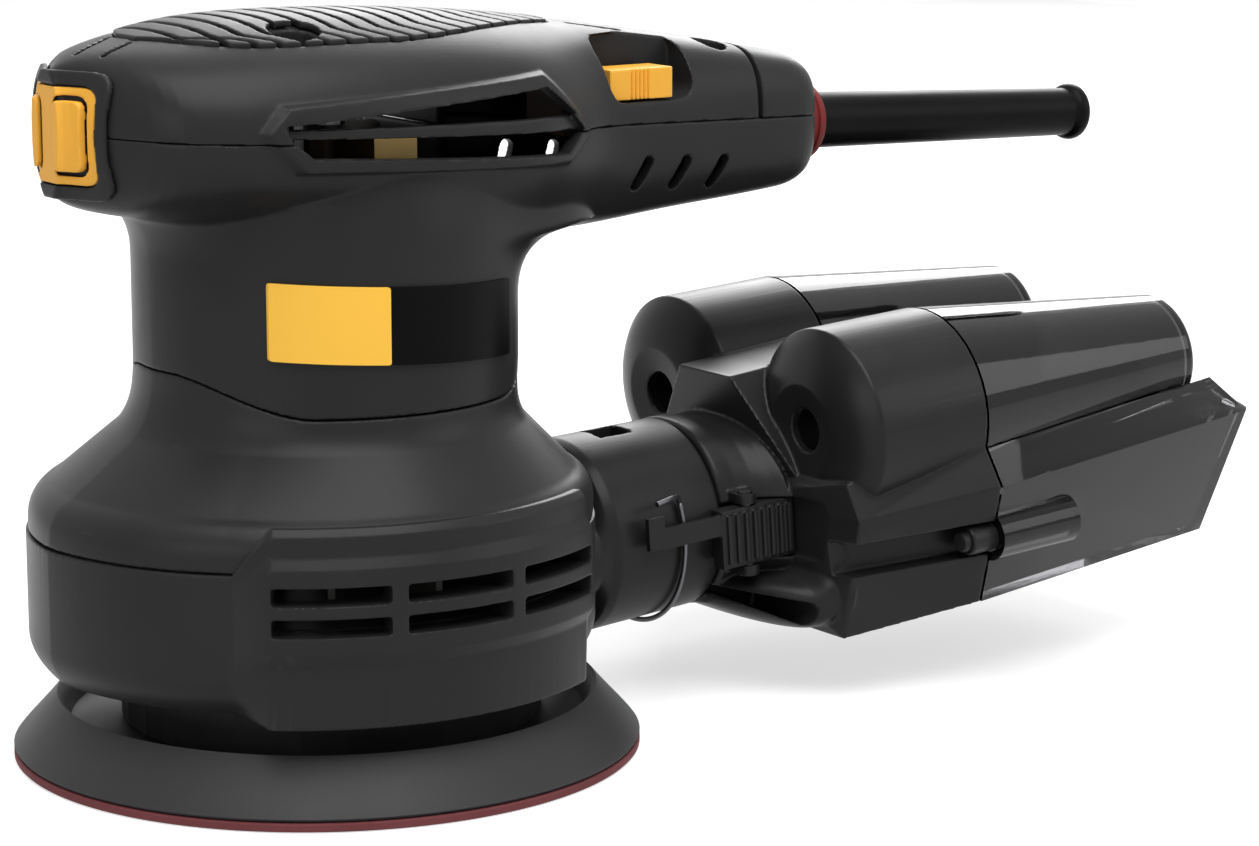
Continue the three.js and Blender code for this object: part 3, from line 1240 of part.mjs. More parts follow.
// Cord entry
const alongCord = (geometry) => geometry.rotateY(Math.PI / 2).translate(0, 0, cordHeight);
add('cord_grommet', alongCord(tube(sleeveRadius + fit, grommetRadius, headRear + fit, headRear + fit + grommetLength, 28)), finish.red);
add('cord_sleeve', alongCord(turned([
  [cordRadius, headRear - sleeveFlange.from], [sleeveRadius + sleeveFlange.proud, headRear - sleeveFlange.from],
  [sleeveRadius + sleeveFlange.proud, headRear - sleeveFlange.to], [sleeveRadius, headRear - sleeveFlange.to],
  [sleeveRadius, headRear + grommetLength + 2], [sleeveTip, sleeveEnd - sleeveBead.length],
  [sleeveTip + sleeveBead.proud, sleeveEnd - sleeveBead.length], [sleeveTip + sleeveBead.proud, sleeveEnd],
  [cordRadius, sleeveEnd], [cordRadius, headRear - sleeveFlange.from],
], 16)), finish.rubberBlack);

// Dust collector, in the frame of its port
const collector = new THREE.Group();
collector.rotation.y = portGroupTurn;
sander.add(collector);
add('dust_head', dustHead(), finish.shellBlack, collector);
add('dust_bin', dustBin(), finish.clear, collector);
add('cyclone_tube_left', cycloneTube(1), finish.clear, collector);
add('cyclone_tube_right', cycloneTube(-1), finish.clear, collector);
add('bin_catch_left', binCatch(1), finish.yellow, collector);
add('bin_catch_right', binCatch(-1), finish.yellow, collector);
add('latch_wire', catchWire(), finish.steel, collector);
add('latch_lever', latchLever(), finish.shellBlack, collector);
add('latch_pin', latchPinForm(0), finish.steel, collector);

export default sander;
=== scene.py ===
"""Random-orbit palm sander with a twin-cyclone dust collector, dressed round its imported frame.

Lengths are written in millimetres in the row's frame: +Z up, +X towards the cord, origin at the
centre of the abrasive face. Meshes are scaled to metres when they are made.
"""

from __future__ import annotations

import json
import logging
import math
from dataclasses import dataclass, field
from enum import Enum
from typing import Callable, Iterable, Sequence

import bmesh
import bpy
import numpy as np
from mathutils import Matrix, Vector

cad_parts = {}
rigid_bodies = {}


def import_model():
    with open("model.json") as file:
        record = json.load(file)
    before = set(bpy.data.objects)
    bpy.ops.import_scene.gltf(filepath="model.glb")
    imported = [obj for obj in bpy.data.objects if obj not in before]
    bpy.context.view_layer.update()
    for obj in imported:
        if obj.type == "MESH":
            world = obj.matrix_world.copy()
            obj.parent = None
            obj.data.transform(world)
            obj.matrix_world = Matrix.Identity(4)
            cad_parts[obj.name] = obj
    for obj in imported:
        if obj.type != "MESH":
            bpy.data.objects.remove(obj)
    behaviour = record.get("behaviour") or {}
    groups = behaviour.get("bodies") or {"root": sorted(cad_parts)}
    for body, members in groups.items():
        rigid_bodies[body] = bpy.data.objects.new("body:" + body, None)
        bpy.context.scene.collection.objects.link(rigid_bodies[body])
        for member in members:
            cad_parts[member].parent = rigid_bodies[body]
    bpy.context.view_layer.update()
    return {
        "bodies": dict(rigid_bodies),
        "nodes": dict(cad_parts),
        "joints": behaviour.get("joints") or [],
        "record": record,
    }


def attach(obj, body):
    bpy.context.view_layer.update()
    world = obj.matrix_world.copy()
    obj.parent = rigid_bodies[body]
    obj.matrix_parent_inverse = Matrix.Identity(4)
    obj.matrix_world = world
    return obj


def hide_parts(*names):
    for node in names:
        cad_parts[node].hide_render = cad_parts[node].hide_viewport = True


log = logging.getLogger("sander")
MM = 0.001
CLEAR_INDEX = 1.36  # refractive index of the clear plastic


# ---------------------------------------------------------------------------- geometry toolkit

Point = tuple[float, float]
Triple = tuple[float, float, float]
Tree = bpy.types.NodeTree
Socket = bpy.types.NodeSocket


class Plane(Enum):
    """Plane that a flat outline is drawn in; the prism runs along the third axis."""

    PLAN = "XY"
    SIDE = "XZ"
    FRONT = "YZ"


class Operation(Enum):
    """Boolean operations between solids."""

    CUT = "DIFFERENCE"
    JOIN = "UNION"
    COMMON = "INTERSECT"


@dataclass
class Solid:
    """A closed mesh in millimetres that is joined and cut before it becomes a piece."""

    mesh: bpy.types.Mesh

    @classmethod
    def of(cls, points: np.ndarray, faces: Sequence[Sequence[int]]) -> "Solid":
        """Make a solid from points and faces.

        Args:
            points: n by 3 array in millimetres.
            faces: point indices of each face.

        Returns:
            The solid, with its faces turned outwards.
        """
        mesh = bpy.data.meshes.new("solid")
        mesh.from_pydata(points.tolist(), [], [tuple(face) for face in faces])
        work = bmesh.new()
        work.from_mesh(mesh)
        bmesh.ops.remove_doubles(work, verts=work.verts, dist=1e-5)
        bmesh.ops.recalc_face_normals(work, faces=work.faces)
        if work.calc_volume(signed=True) < 0:
            bmesh.ops.reverse_faces(work, faces=work.faces)
        work.to_mesh(mesh)
        work.free()
        return cls(mesh)

    def _with(self, others: Iterable["Solid"], operation: Operation) -> "Solid":
        """Apply one boolean with each of the other solids.

        Args:
            others: the tools.
            operation: what to do with each.

        Returns:
            A new solid.
        """
        tools = [bpy.data.objects.new("tool", other.mesh) for other in others]
        for tool in tools:
            bpy.context.scene.collection.objects.link(tool)
        made = self._under("BOOLEAN", *[{"object": tool, "operation": operation.value, "solver": "MANIFOLD"}
                                        for tool in tools])
        for tool in tools:
            bpy.data.objects.remove(tool)
        return made

    def cut(self, *others: "Solid") -> "Solid":
        """Return what is left after cutting the others away."""
        return self._with(others, Operation.CUT)

    def join(self, *others: "Solid") -> "Solid":
        """Return this solid joined with the others."""
        return self._with(others, Operation.JOIN)

    def common(self, *others: "Solid") -> "Solid":
        """Return what this solid shares with each of the others."""
        return self._with(others, Operation.COMMON)

    def moved(self, matrix: Matrix) -> "Solid":
        """Return a copy under a transformation.

        Args:
            matrix: the transformation; one that mirrors keeps the faces outwards.

        Returns:
            The moved solid.
        """
        mesh = self.mesh.copy()
        mesh.transform(matrix)
        if matrix.determinant() < 0:
            mesh.flip_normals()
        return Solid(mesh)

    def shifted(self, x: float = 0.0, y: float = 0.0, z: float = 0.0) -> "Solid":
        """Return a copy moved along the axes."""
        return self.moved(Matrix.Translation((x, y, z)))

    def mirrored(self) -> "Solid":
        """Return a copy mirrored to the other side of the XZ plane."""
        return self.moved(Matrix.Scale(-1.0, 4, Vector((0.0, 1.0, 0.0))))

    def _under(self, kind: str, *steps: dict[str, object]) -> "Solid":
        """Return a copy under one or more modifiers of a kind.

        Args:
            kind: type of the modifiers.
            *steps: settings of each, by name.

        Returns:
            The changed solid.
        """
        work = bpy.data.objects.new("work", self.mesh)
        bpy.context.scene.collection.objects.link(work)
        for settings in steps:
            step = work.modifiers.new("step", kind)
            for name, value in settings.items():
                setattr(step, name, value)
        shape = work.evaluated_get(bpy.context.evaluated_depsgraph_get())
        made = bpy.data.meshes.new_from_object(shape)
        bpy.data.objects.remove(work)
        return Solid(made)

    def refined(self, voxel: float) -> "Solid":
        """Return a copy with an even skin of small faces.

        Args:
            voxel: face size in millimetres.

        Returns:
            The remeshed solid.
        """
        return self._under("REMESH", {"mode": "VOXEL", "voxel_size": voxel, "adaptivity": 0.0})

    def slimmed(self, faces: int) -> "Solid":
        """Return a copy with fewer faces, kept where the surface bends most.

        Args:
            faces: number of triangles to keep.

        Returns:
            The lighter solid.
        """
        triangles = sum(len(face.vertices) - 2 for face in self.mesh.polygons)
        if triangles <= faces:
            return self
        return self._under("DECIMATE", {"ratio": faces / triangles})

    def points(self) -> np.ndarray:
        """Read the points.

        Returns:
            An n by 3 array in millimetres.
        """
        flat = np.empty(len(self.mesh.vertices) * 3)
        self.mesh.vertices.foreach_get("co", flat)
        return flat.reshape(-1, 3)

    def relaxed(self, share: np.ndarray, rounds: int) -> "Solid":
        """Return a copy whose points are drawn towards their neighbours.

        Args:
            share: for each point, how strongly it follows, from 0 to 1.
            rounds: number of passes.

        Returns:
            The smoothed solid.
        """
        points = self.points()
        ends = np.empty(len(self.mesh.edges) * 2, dtype=np.int64)
        self.mesh.edges.foreach_get("vertices", ends)
        ends = ends.reshape(-1, 2)
        near, far = np.concatenate([ends[:, 0], ends[:, 1]]), np.concatenate([ends[:, 1], ends[:, 0]])
        count = np.bincount(near, minlength=len(points))[:, None]
        for _ in range(rounds):
            total = np.stack([np.bincount(near, points[far, i], len(points)) for i in range(3)], axis=1)
            points = points + (total / count - points) * share[:, None] * 0.5
        mesh = self.mesh.copy()
        mesh.vertices.foreach_set("co", points.ravel())
        mesh.update()
        return Solid(mesh)


def loft(rows: Sequence[np.ndarray]) -> Solid:
    """Make a closed solid through rows of points that each go once round.

    Args:
        rows: arrays of m points each, in order along the solid.

    Returns:
        The solid, closed by a fan at each end.
    """
    grid = np.stack(rows)
    count, width = grid.shape[:2]
    points = np.concatenate([grid.reshape(-1, 3), grid[0].mean(0)[None], grid[-1].mean(0)[None]])
    start, end = count * width, count * width + 1
    faces: list[tuple[int, ...]] = []
    for i in range(count - 1):
        for k in range(width):
            n = (k + 1) % width
            faces.append((i * width + k, i * width + n, (i + 1) * width + n, (i + 1) * width + k))
    last = (count - 1) * width
    for k in range(width):
        n = (k + 1) % width
        faces.append((start, n, k))
        faces.append((end, last + k, last + n))
    return Solid.of(points, faces)


def ring_loft(rows: Sequence[np.ndarray]) -> Solid:
    """Make a closed wall whose last row meets the first.

    Args:
        rows: arrays of m points each, which each go once round.

    Returns:
        The solid.
    """
    grid = np.stack(rows)
    count, width = grid.shape[:2]
    faces = [
        (i * width + k, i * width + (k + 1) % width, (i + 1) % count * width + (k + 1) % width,
         (i + 1) % count * width + k)
        for i in range(count)
        for k in range(width)
    ]
    return Solid.of(grid.reshape(-1, 3), faces)


def turned(profile: Sequence[Point], steps: int = 96, axis: str = "Z") -> Solid:
    """Make a solid of revolution.

    Args:
        profile: radius and height pairs. Where they start and end on the axis the solid is closed
            there, and otherwise the profile closes on itself.
        steps: number of faces round.
        axis: row axis that it turns about.

    Returns:
        The solid.
    """
    angles = np.arange(steps) / steps * 2 * math.pi
    rows = [
        np.stack([max(r, 1e-4) * np.cos(angles), max(r, 1e-4) * np.sin(angles), np.full(steps, z)], axis=1)
        for r, z in profile
    ]
    open_ended = profile[0][0] < 1e-6 and profile[-1][0] < 1e-6
    solid = loft(rows) if open_ended else ring_loft(rows)
    if axis == "X":
        return solid.moved(Matrix.Rotation(math.pi / 2, 4, "Y"))
    if axis == "Y":
        return solid.moved(Matrix.Rotation(-math.pi / 2, 4, "X"))
    return solid


def rod(radius: float, low: float, high: float, steps: int = 64, axis: str = "Z") -> Solid:
    """Make a plain cylinder between two heights on an axis."""
    return turned([(0, low), (radius, low), (radius, high), (0, high)], steps, axis)


def prism(outline: Sequence[Point], low: float, high: float, plane: Plane = Plane.PLAN) -> Solid:
    """Make a straight prism of a flat outline.

    Args:
        outline: corners in order.
        low: where it starts along the third axis.
        high: where it ends.
        plane: plane of the outline.

    Returns:
        The solid.
    """
    count = len(outline)
    flat = np.array(outline, dtype=float)
    order = {Plane.PLAN: (0, 1, 2), Plane.SIDE: (0, 2, 1), Plane.FRONT: (1, 2, 0)}[plane]
    points = np.zeros((2 * count, 3))
    for start, level in ((0, low), (count, high)):
        points[start : start + count, order[0]] = flat[:, 0]
        points[start : start + count, order[1]] = flat[:, 1]
        points[start : start + count, order[2]] = level
    faces: list[tuple[int, ...]] = [tuple(range(count)), tuple(range(2 * count - 1, count - 1, -1))]
    faces += [(k, k + count, (k + 1) % count + count, (k + 1) % count) for k in range(count)]
    return Solid.of(points, faces)


def block(low: Sequence[float], high: Sequence[float]) -> Solid:
    """Make a box from its lowest to its highest corner."""
    corners = [(low[0], low[1]), (high[0], low[1]), (high[0], high[1]), (low[0], high[1])]
    return prism(corners, low[2], high[2])


def rounded(corners: Sequence[Point], radius: float, steps: int = 6) -> list[Point]:
    """Round the corners of an outline.

    Args:
        corners: the sharp corners in order.
        radius: rounding radius; a short side takes less.
        steps: points along each rounding.

    Returns:
        The corners of the rounded outline.
    """
    points = [np.array(corner, dtype=float) for corner in corners]
    out: list[Point] = []
    for i, here in enumerate(points):
        before, after = points[i - 1] - here, points[(i + 1) % len(points)] - here
        reach = min(radius, np.linalg.norm(before) * 0.49, np.linalg.norm(after) * 0.49)
        start = here + before / np.linalg.norm(before) * reach
        end = here + after / np.linalg.norm(after) * reach
        for t in np.linspace(0, 1, steps):
            spot = (1 - t) ** 2 * start + 2 * t * (1 - t) * here + t**2 * end
            out.append((float(spot[0]), float(spot[1])))
    return out


def rectangle(width: float, height: float, centre: Point = (0.0, 0.0)) -> list[Point]:
    """Return the corners of a rectangle about a centre."""
    w, h = width / 2, height / 2
    return [(centre[0] + a * w, centre[1] + b * h) for a, b in ((-1, -1), (1, -1), (1, 1), (-1, 1))]


def smooth(value: np.ndarray | float, low: float, high: float) -> np.ndarray | float:
    """Rise smoothly from 0 at `low` to 1 at `high`."""
    t = np.clip((value - low) / (high - low), 0.0, 1.0)
    return t * t * (3 - 2 * t)


def bezier(start: Point, first: Point, second: Point, end: Point, count: int) -> list[Point]:
    """Return points along a cubic curve with two handles."""
    a, b, c, d = (np.array(p, dtype=float) for p in (start, first, second, end))
    return [tuple((1 - t) ** 3 * a + 3 * t * (1 - t) ** 2 * b + 3 * t * t * (1 - t) * c + t**3 * d)
            for t in np.linspace(0, 1, count)]


def line_outline(start: Point, end: Point, width: float) -> list[Point]:
    """Return the outline of a straight line with round ends.

    Args:
        start: where the line starts.
        end: where it ends.
        width: how wide it is.

    Returns:
        The points of the outline.
    """
    a, b = np.array(start, dtype=float), np.array(end, dtype=float)
    along = (b - a) / np.linalg.norm(b - a)
    turn = math.atan2(along[1], along[0])
    out = []
    for spot, first in ((b, turn - math.pi / 2), (a, turn + math.pi / 2)):
        for angle in np.linspace(first, first + math.pi, 7):
            across, up = width / 2 * math.cos(angle), width / 2 * math.sin(angle)
            out.append((float(spot[0] + across), float(spot[1] + up)))
    return out


# ---------------------------------------------------------------------------- shared sizes

FIT = 0.3  # gap between neighbouring pieces
SEAM = 0.14  # gap of the joint round the head
WALL = 2.4  # moulded wall
BLEND_ROUNDS = 40  # passes that flow one form into another


def lerp(start: float | np.ndarray, end: float | np.ndarray, share: float | np.ndarray) -> float | np.ndarray:
    """Return the value a share of the way from start to end."""
    return start + (end - start) * share


def turns(count: int) -> np.ndarray:
    """Return evenly spaced angles for one turn."""
    return np.arange(count) / count * 2 * math.pi


def oval(angle: np.ndarray, square: float) -> tuple[np.ndarray, np.ndarray]:
    """Return cosines and sines of a rounded outline, an ellipse at 2 and squarer above."""
    c, s = np.cos(angle), np.sin(angle)
    return np.sign(c) * np.abs(c) ** (2 / square), np.sign(s) * np.abs(s) ** (2 / square)


@dataclass(frozen=True)
class Flare:
    """Quarter-round that leads the neck out into the head.

    Attributes:
        low: height where it starts.
        height: rise over which it runs.
        reach: how far it stands out at the top.
        sharpness: how narrow it is round the neck.
    """

    low: float
    height: float
    reach: float
    sharpness: int

    def at(self, z: np.ndarray, facing: np.ndarray) -> np.ndarray:
        """Return what the flare adds to the radius.

        Args:
            z: heights.
            facing: cosine of the angle from the flare's middle.

        Returns:
            The added radius at each point.
        """
        rise = np.clip((z - self.low) / self.height, 0.0, 1.0)
        return np.maximum(facing, 0.0) ** self.sharpness * self.reach * (1 - np.sqrt(1 - rise**2))


@dataclass(frozen=True)
class Body:
    """Keeled round body: skirt, shoulder and neck share its outline."""

    spindle_x: float = 1.0
    skirt_centre: float = -2.3
    skirt_radius: float = 55.5
    skirt_bottom: float = 20.0
    skirt_top: float = 47.0
    neck_radius: float = 37.7
    joint_side: float = 72.5
    joint_front: float = 79.5
    joint_rear: float = 76.0
    keel_depth: float = 3.0
    keel_half: float = math.radians(42)
    parting_height: float = 124.4
    parting_fall: float = 0.038
    columns: int = 360

    @property
    def foot(self) -> float:
        """Return the radius at which the shoulder meets the skirt."""
        return self.skirt_radius - FIT - 0.1

    @property
    def flares(self) -> tuple[Flare, Flare]:
        """Return the rear and the front flare of the neck."""
        return Flare(self.parting_height - 33.4, 12, 22, 6), Flare(self.parting_height - 23.4, 12, 14, 4)

    def angles(self) -> np.ndarray:
        """Return the angles of the columns, counted from the rear."""
        return turns(self.columns)

    def wrap(self, angle: np.ndarray) -> np.ndarray:
        """Bring angles to the range from minus to plus half a turn."""
        return (angle + math.pi) % (2 * math.pi) - math.pi

    def point(self, angle: np.ndarray, radius: np.ndarray, z: np.ndarray, centre: np.ndarray) -> np.ndarray:
        """Return points on the body.

        Args:
            angle: angles from the rear.
            radius: radius before the keel is added.
            z: heights.
            centre: x of the section's centre.

        Returns:
            n by 3 array of points.
        """
        ones = np.ones_like(angle)
        keel = lerp(self.keel_depth, self.keel_depth / 3, smooth(z * ones, self.skirt_top, self.joint_front))
        share = np.maximum(0.0, 1 - (math.pi - np.abs(self.wrap(angle))) / self.keel_half)
        r = radius + keel * share
        return np.stack([centre + r * np.cos(angle), r * np.sin(angle), z * ones], axis=1)

    def centre(self, z: np.ndarray | float) -> np.ndarray | float:
        """Return the x of the section's centre: it moves onto the motor axis up the shoulder."""
        return lerp(self.skirt_centre, self.spindle_x, smooth(z, self.skirt_top, self.joint_side + 8))

    def joint(self, angle: np.ndarray) -> np.ndarray:
        """Return the height of the joint between shoulder and neck.

        Args:
            angle: angles from the rear.

        Returns:
            The height at each angle.
        """
        away = np.abs(self.wrap(angle))
        front = 1 - smooth(math.pi - away, math.radians(8), math.radians(58))
        rear = 1 - smooth(away, math.radians(10), math.radians(60))
        return (self.joint_side + front * (self.joint_front - self.joint_side)
                + rear * (self.joint_rear - self.joint_side))

    def radius(self, z: np.ndarray | float) -> np.ndarray:
        """Return the radius of shoulder and neck at a height.

        Args:
            z: heights.

        Returns:
            The radius at each height.
        """

        def bend(*corners: Point) -> list[Point]:
            """Return points along a bend from the first corner to the last."""
            a, b, c = (np.array(corner) for corner in corners)
            return [tuple((1 - t) ** 2 * a + 2 * t * (1 - t) * b + t * t * c) for t in np.linspace(0, 1, 12)]

        foot, top, neck, side = self.foot, self.skirt_top, self.neck_radius, self.joint_side
        line = [(foot, top - 10)]
        line += bend((foot, top + 3), (foot, top + 7.5), (foot - 4, top + 9.5))
        line += bend((neck + 2.4, side - 6), (neck, side - 3), (neck, side + 3))
        line.append((neck, side + 100))
        return np.interp(z, [p[1] for p in line], [p[0] for p in line])

    def parting(self, x: float | np.ndarray) -> float | np.ndarray:
        """Return the height of the cover joint at x."""
        return self.parting_height - self.parting_fall * x

    def plate(self, radius: float, low: float, high: float) -> Solid:
        """Return a plate with the body's outline between two heights."""
        angle = self.angles()
        return loft([self.point(angle, radius, z, self.skirt_centre) for z in (low, high)])

    def neck(self, inset: float) -> Solid:
        """Return the neck as a solid, drawn in by an inset.

        Args:
            inset: distance from the outer surface.

        Returns:
            The neck from its lower joint up into the head.
        """
        angle, (rear, front) = self.angles(), self.flares
        top = self.parting_height - 5.4
        straight = (self.joint_front + rear.low + 2) / 2
        start = np.full(self.columns, self.joint_side - 4.0) if inset > 0 else self.joint(angle) + FIT
        heights = [lerp(start, straight, share) for share in (0.0, 0.33, 0.66)]
        heights += [np.full(self.columns, z) for z in np.linspace(straight, top, 24)]
        rows = []
        for z in heights:
            draw = 1.4 * smooth(z, front.low + 3, top)
            radius = self.radius(z) - draw + rear.at(z, np.cos(angle)) + front.at(z, -np.cos(angle))
            rows.append(self.point(angle, radius - inset, z, self.centre(z)))
        return loft(rows)


@dataclass(frozen=True)
class Stations:
    """Smooth line through values at stations, with natural curvature between them."""

    places: tuple[float, ...]
    values: tuple[tuple[float, ...], ...]

    def at(self, place: float) -> np.ndarray:
        """Return the values at a place.

        Args:
            place: where along the line.

        Returns:
            One value for each column.
        """
        t, v = self.places, np.array(self.values)
        i = int(np.clip(np.searchsorted(t, place) - 1, 0, len(t) - 2))
        before, after = i - 1, i + 2
        t_before = t[before] if i > 0 else 2 * t[0] - t[1]
        t_after = t[after] if i + 2 < len(t) else 2 * t[-1] - t[-2]
        v_before = v[before] if i > 0 else v[1]
        v_after = v[after] if i + 2 < len(t) else v[-2]
        half = (t[i + 1] - t[i]) / 2
        wp, wn = half / (t[i] - t_before), half / (t_after - t[i + 1])
        p = (place - t[i]) / (t[i + 1] - t[i])
        sp = -wp * p**3 + 2 * wp * p**2 - wp * p
        s0 = (1 + wp) * p**3 + (-1.5 - 2 * wp) * p**2 + (-0.5 + wp) * p + 1
        s1 = (-1 - wn) * p**3 + (1.5 + wn) * p**2 + 0.5 * p
        sn = wn * p**3 - wn * p**2
        return sp * v_before + s0 * v[i] + s1 * v[i + 1] + sn * v_after


@dataclass(frozen=True)
class Head:
    """Rounded head that runs out into the handle."""

    body: Body = Body()
    front: float = -57.5
    rear: float = 113.2
    squareness: tuple[float, float] = (2.35, 3.1)
    squaring: tuple[float, float] = (60.0, 108.0)
    facets: int = 128
    nose_length: float = 9.0
    nose_end: float = 0.8
    tail_length: float = 6.5
    tail_end: float = 0.83
    # Half width, rise over the parting height and drop below it.
    line: Stations = Stations(
        (-57.5, -52.5, -47.5, -40, -25, 5, 30, 55, 80, 105, 122),
        ((4, 15.6, 11.9), (15.5, 16.6, 12.9), (25, 17.6, 13.9), (31, 19.2, 15.4), (35.3, 21.6, 18.4),
         (37.2, 21.9, 20.4), (34, 20.4, 23.4), (21.5, 17.6, 24.4), (17.6, 13.9, 22.2), (14.5, 9.4, 20.1),
         (12, 6.1, 18.4)),
    )

    @staticmethod
    def _end(distance: float, length: float, end: float) -> float:
        """Return the shrink of a section inside a rounded end."""
        s = 1 - min(distance, length) / length
        return 1 - (1 - end) * (1 - math.sqrt(1 - s * s))

    def form(self, inset: float, step: float = 2.0) -> Solid:
        """Return the whole head and handle as one solid.

        Args:
            inset: distance that it is drawn in from the outer surface.
            step: spacing of the sections.

        Returns:
            The closed form.
        """
        ends = np.array([0, 0.3, 0.9, 1.8, 3, 4.5, 6.5, 9])
        middle = np.arange(self.front + 11, self.rear - 10.5, step)
        places = np.concatenate([self.front + ends, middle, self.rear - ends[::-1]])
        angle = turns(self.facets)
        rows = []
        for x in places:
            c, s = oval(angle, lerp(*self.squareness, smooth(x, *self.squaring)))
            half, rise, drop = self.line.at(x)
            level = self.body.parting(x)
            top, bottom = self.body.parting_height + rise, self.body.parting_height - drop
            tail = self._end(self.rear - x, self.tail_length, self.tail_end)
            share = tail * self._end(x - self.front, self.nose_length, self.nose_end)
            middle_z = lerp(level, (top + bottom) / 2, 0.5)
            top = middle_z + (top - middle_z) * share - inset
            bottom = middle_z + (bottom - middle_z) * share + inset
            at = lerp(self.front + inset, self.rear - inset, (x - self.front) / (self.rear - self.front))
            z = level + s * np.where(s > 0, top - level, level - bottom)
            rows.append(np.stack([np.full(self.facets, at), (half * tail - inset) * c, z], axis=1))
        return loft(rows)

    def skin(self, inner: float, outer: float, *windows: Solid) -> Solid:
        """Return a skin over the head inside some windows.

        Args:
            inner: growth of its inner face.
            outer: growth of its outer face.
            *windows: prisms that bound it.

        Returns:
            The skin.
        """
        return self.form(-outer).cut(self.form(-inner)).common(*windows)

    def half_space(self, side: int) -> Solid:
        """Return everything on one side of the cover joint.

        Args:
            side: 1 for the space above it and -1 for the space below.

        Returns:
            The space as a large box.
        """
        size = 400.0
        low, high = (SEAM / 2, size) if side > 0 else (-size, -SEAM / 2)
        tilt = Matrix.Rotation(math.atan(self.body.parting_fall), 4, "Y")
        box = block((-size, -size, low), (size, size, high)).moved(tilt)
        return box.shifted(z=self.body.parting_height)


def cord_line(body: Body, drop: float) -> Matrix:
    """Return what lays the X axis on the cord's line, parallel to the cover joint and under it."""
    tilt = Matrix.Rotation(math.atan(body.parting_fall), 4, "Y")
    return Matrix.Translation((0, 0, body.parting_height - drop)) @ tilt


# ---------------------------------------------------------------------------- effects and finishes


def math_node(tree: Tree, operation: str, *inputs: float | Socket, clamp: bool = False) -> Socket:
    """Place one math node.

    Args:
        tree: the tree that it goes into.
        operation: what it does.
        *inputs: a number or a socket for each of its inputs.
        clamp: whether the result stays from 0 to 1.

    Returns:
        The socket of the result.
    """
    node = tree.nodes.new("ShaderNodeMath")
    node.operation, node.use_clamp = operation, clamp
    for place, value in zip(node.inputs, inputs):
        if isinstance(value, Socket):
            tree.links.new(value, place)
        else:
            place.default_value = value
    return node.outputs[0]


class Effect(Enum):
    """Shader node groups shared by the finishes."""

    GRAIN = "mould_grain"
    MOTTLE = "surface_mottle"
    WEAR = "edge_wear"


@dataclass
class Effects:
    """Builds each shared node group once."""

    groups: dict[Effect, Tree] = field(default_factory=dict)

    def group(self, effect: Effect) -> Tree:
        """Return the node group of an effect, building it on first use.

        Args:
            effect: which effect is wanted.

        Returns:
            The shader node tree of that effect.
        """
        if effect not in self.groups:
            makers = {Effect.GRAIN: self._grain, Effect.MOTTLE: self._mottle, Effect.WEAR: self._wear}
            self.groups[effect] = makers[effect](effect.value)
        return self.groups[effect]

    @staticmethod
    def _tree(name: str, inputs: dict[str, float], output: str) -> Tree:
        """Make an empty group with float sockets.

        Args:
            name: name of the node tree.
            inputs: socket names and their defaults.
            output: name of the one output.

        Returns:
            The new tree, with its group input and output nodes placed.
        """
        tree = bpy.data.node_groups.new(name, "ShaderNodeTree")
        for socket, value in inputs.items():
            made = tree.interface.new_socket(socket, in_out="INPUT", socket_type="NodeSocketFloat")
            made.default_value = value
        tree.interface.new_socket(output, in_out="OUTPUT", socket_type="NodeSocketFloat")
        tree.nodes.new("NodeGroupInput")
        tree.nodes.new("NodeGroupOutput")
        return tree

    @staticmethod
    def _noise(tree: Tree, scale: str, detail: float) -> bpy.types.Node:
        """Place noise that is fixed to the object.

        Args:
            tree: the group's tree.
            scale: name of the group's input that sets the noise's scale.
            detail: number of finer layers.

        Returns:
            The noise node.
        """
        coords = tree.nodes.new("ShaderNodeTexCoord")
        noise = tree.nodes.new("ShaderNodeTexNoise")
        noise.inputs["Detail"].default_value = detail
        tree.links.new(coords.outputs["Object"], noise.inputs["Vector"])
        tree.links.new(tree.nodes["Group Input"].outputs[scale], noise.inputs["Scale"])
        return noise

    def _grain(self, name: str) -> Tree:
        """Build the fine spark-eroded texture of a moulding, as a height.

        Args:
            name: name of the group.

        Returns:
            The group.
        """
        tree = self._tree(name, {"Scale": 1500.0, "Roundness": 0.5}, "Height")
        given, out = tree.nodes["Group Input"], tree.nodes["Group Output"]
        noise = self._noise(tree, "Scale", 3.0)
        tree.links.new(given.outputs["Roundness"], noise.inputs["Roughness"])
        tree.links.new(noise.outputs["Fac"], out.inputs["Height"])
        return tree

    def _mottle(self, name: str) -> Tree:
        """Build the soft variation from handling and dust, from 0 to 1.

        Args:
            name: name of the group.

        Returns:
            The group.
        """
        tree = self._tree(name, {"Scale": 40.0, "Contrast": 1.6}, "Mask")
        given, out = tree.nodes["Group Input"], tree.nodes["Group Output"]
        spread = math_node(tree, "SUBTRACT", self._noise(tree, "Scale", 5.0).outputs["Fac"], 0.5)
        gain = math_node(tree, "MULTIPLY_ADD", spread, given.outputs["Contrast"], 0.5, clamp=True)
        tree.links.new(gain, out.inputs["Mask"])
        return tree

    def _wear(self, name: str) -> Tree:
        """Build the mask of the rubbed convex edges, broken up by noise.

        Args:
            name: name of the group.

        Returns:
            The group.
        """
        tree = self._tree(name, {"Onset": 0.54, "Breakup": 300.0}, "Mask")
        given, out = tree.nodes["Group Input"], tree.nodes["Group Output"]
        shape = tree.nodes.new("ShaderNodeNewGeometry")
        above = math_node(tree, "SUBTRACT", shape.outputs["Pointiness"], given.outputs["Onset"])
        steep = math_node(tree, "MULTIPLY", above, 12.0, clamp=True)
        broken = math_node(tree, "MULTIPLY", steep, self._noise(tree, "Breakup", 2.0).outputs["Fac"])
        tree.links.new(broken, out.inputs["Mask"])
        return tree


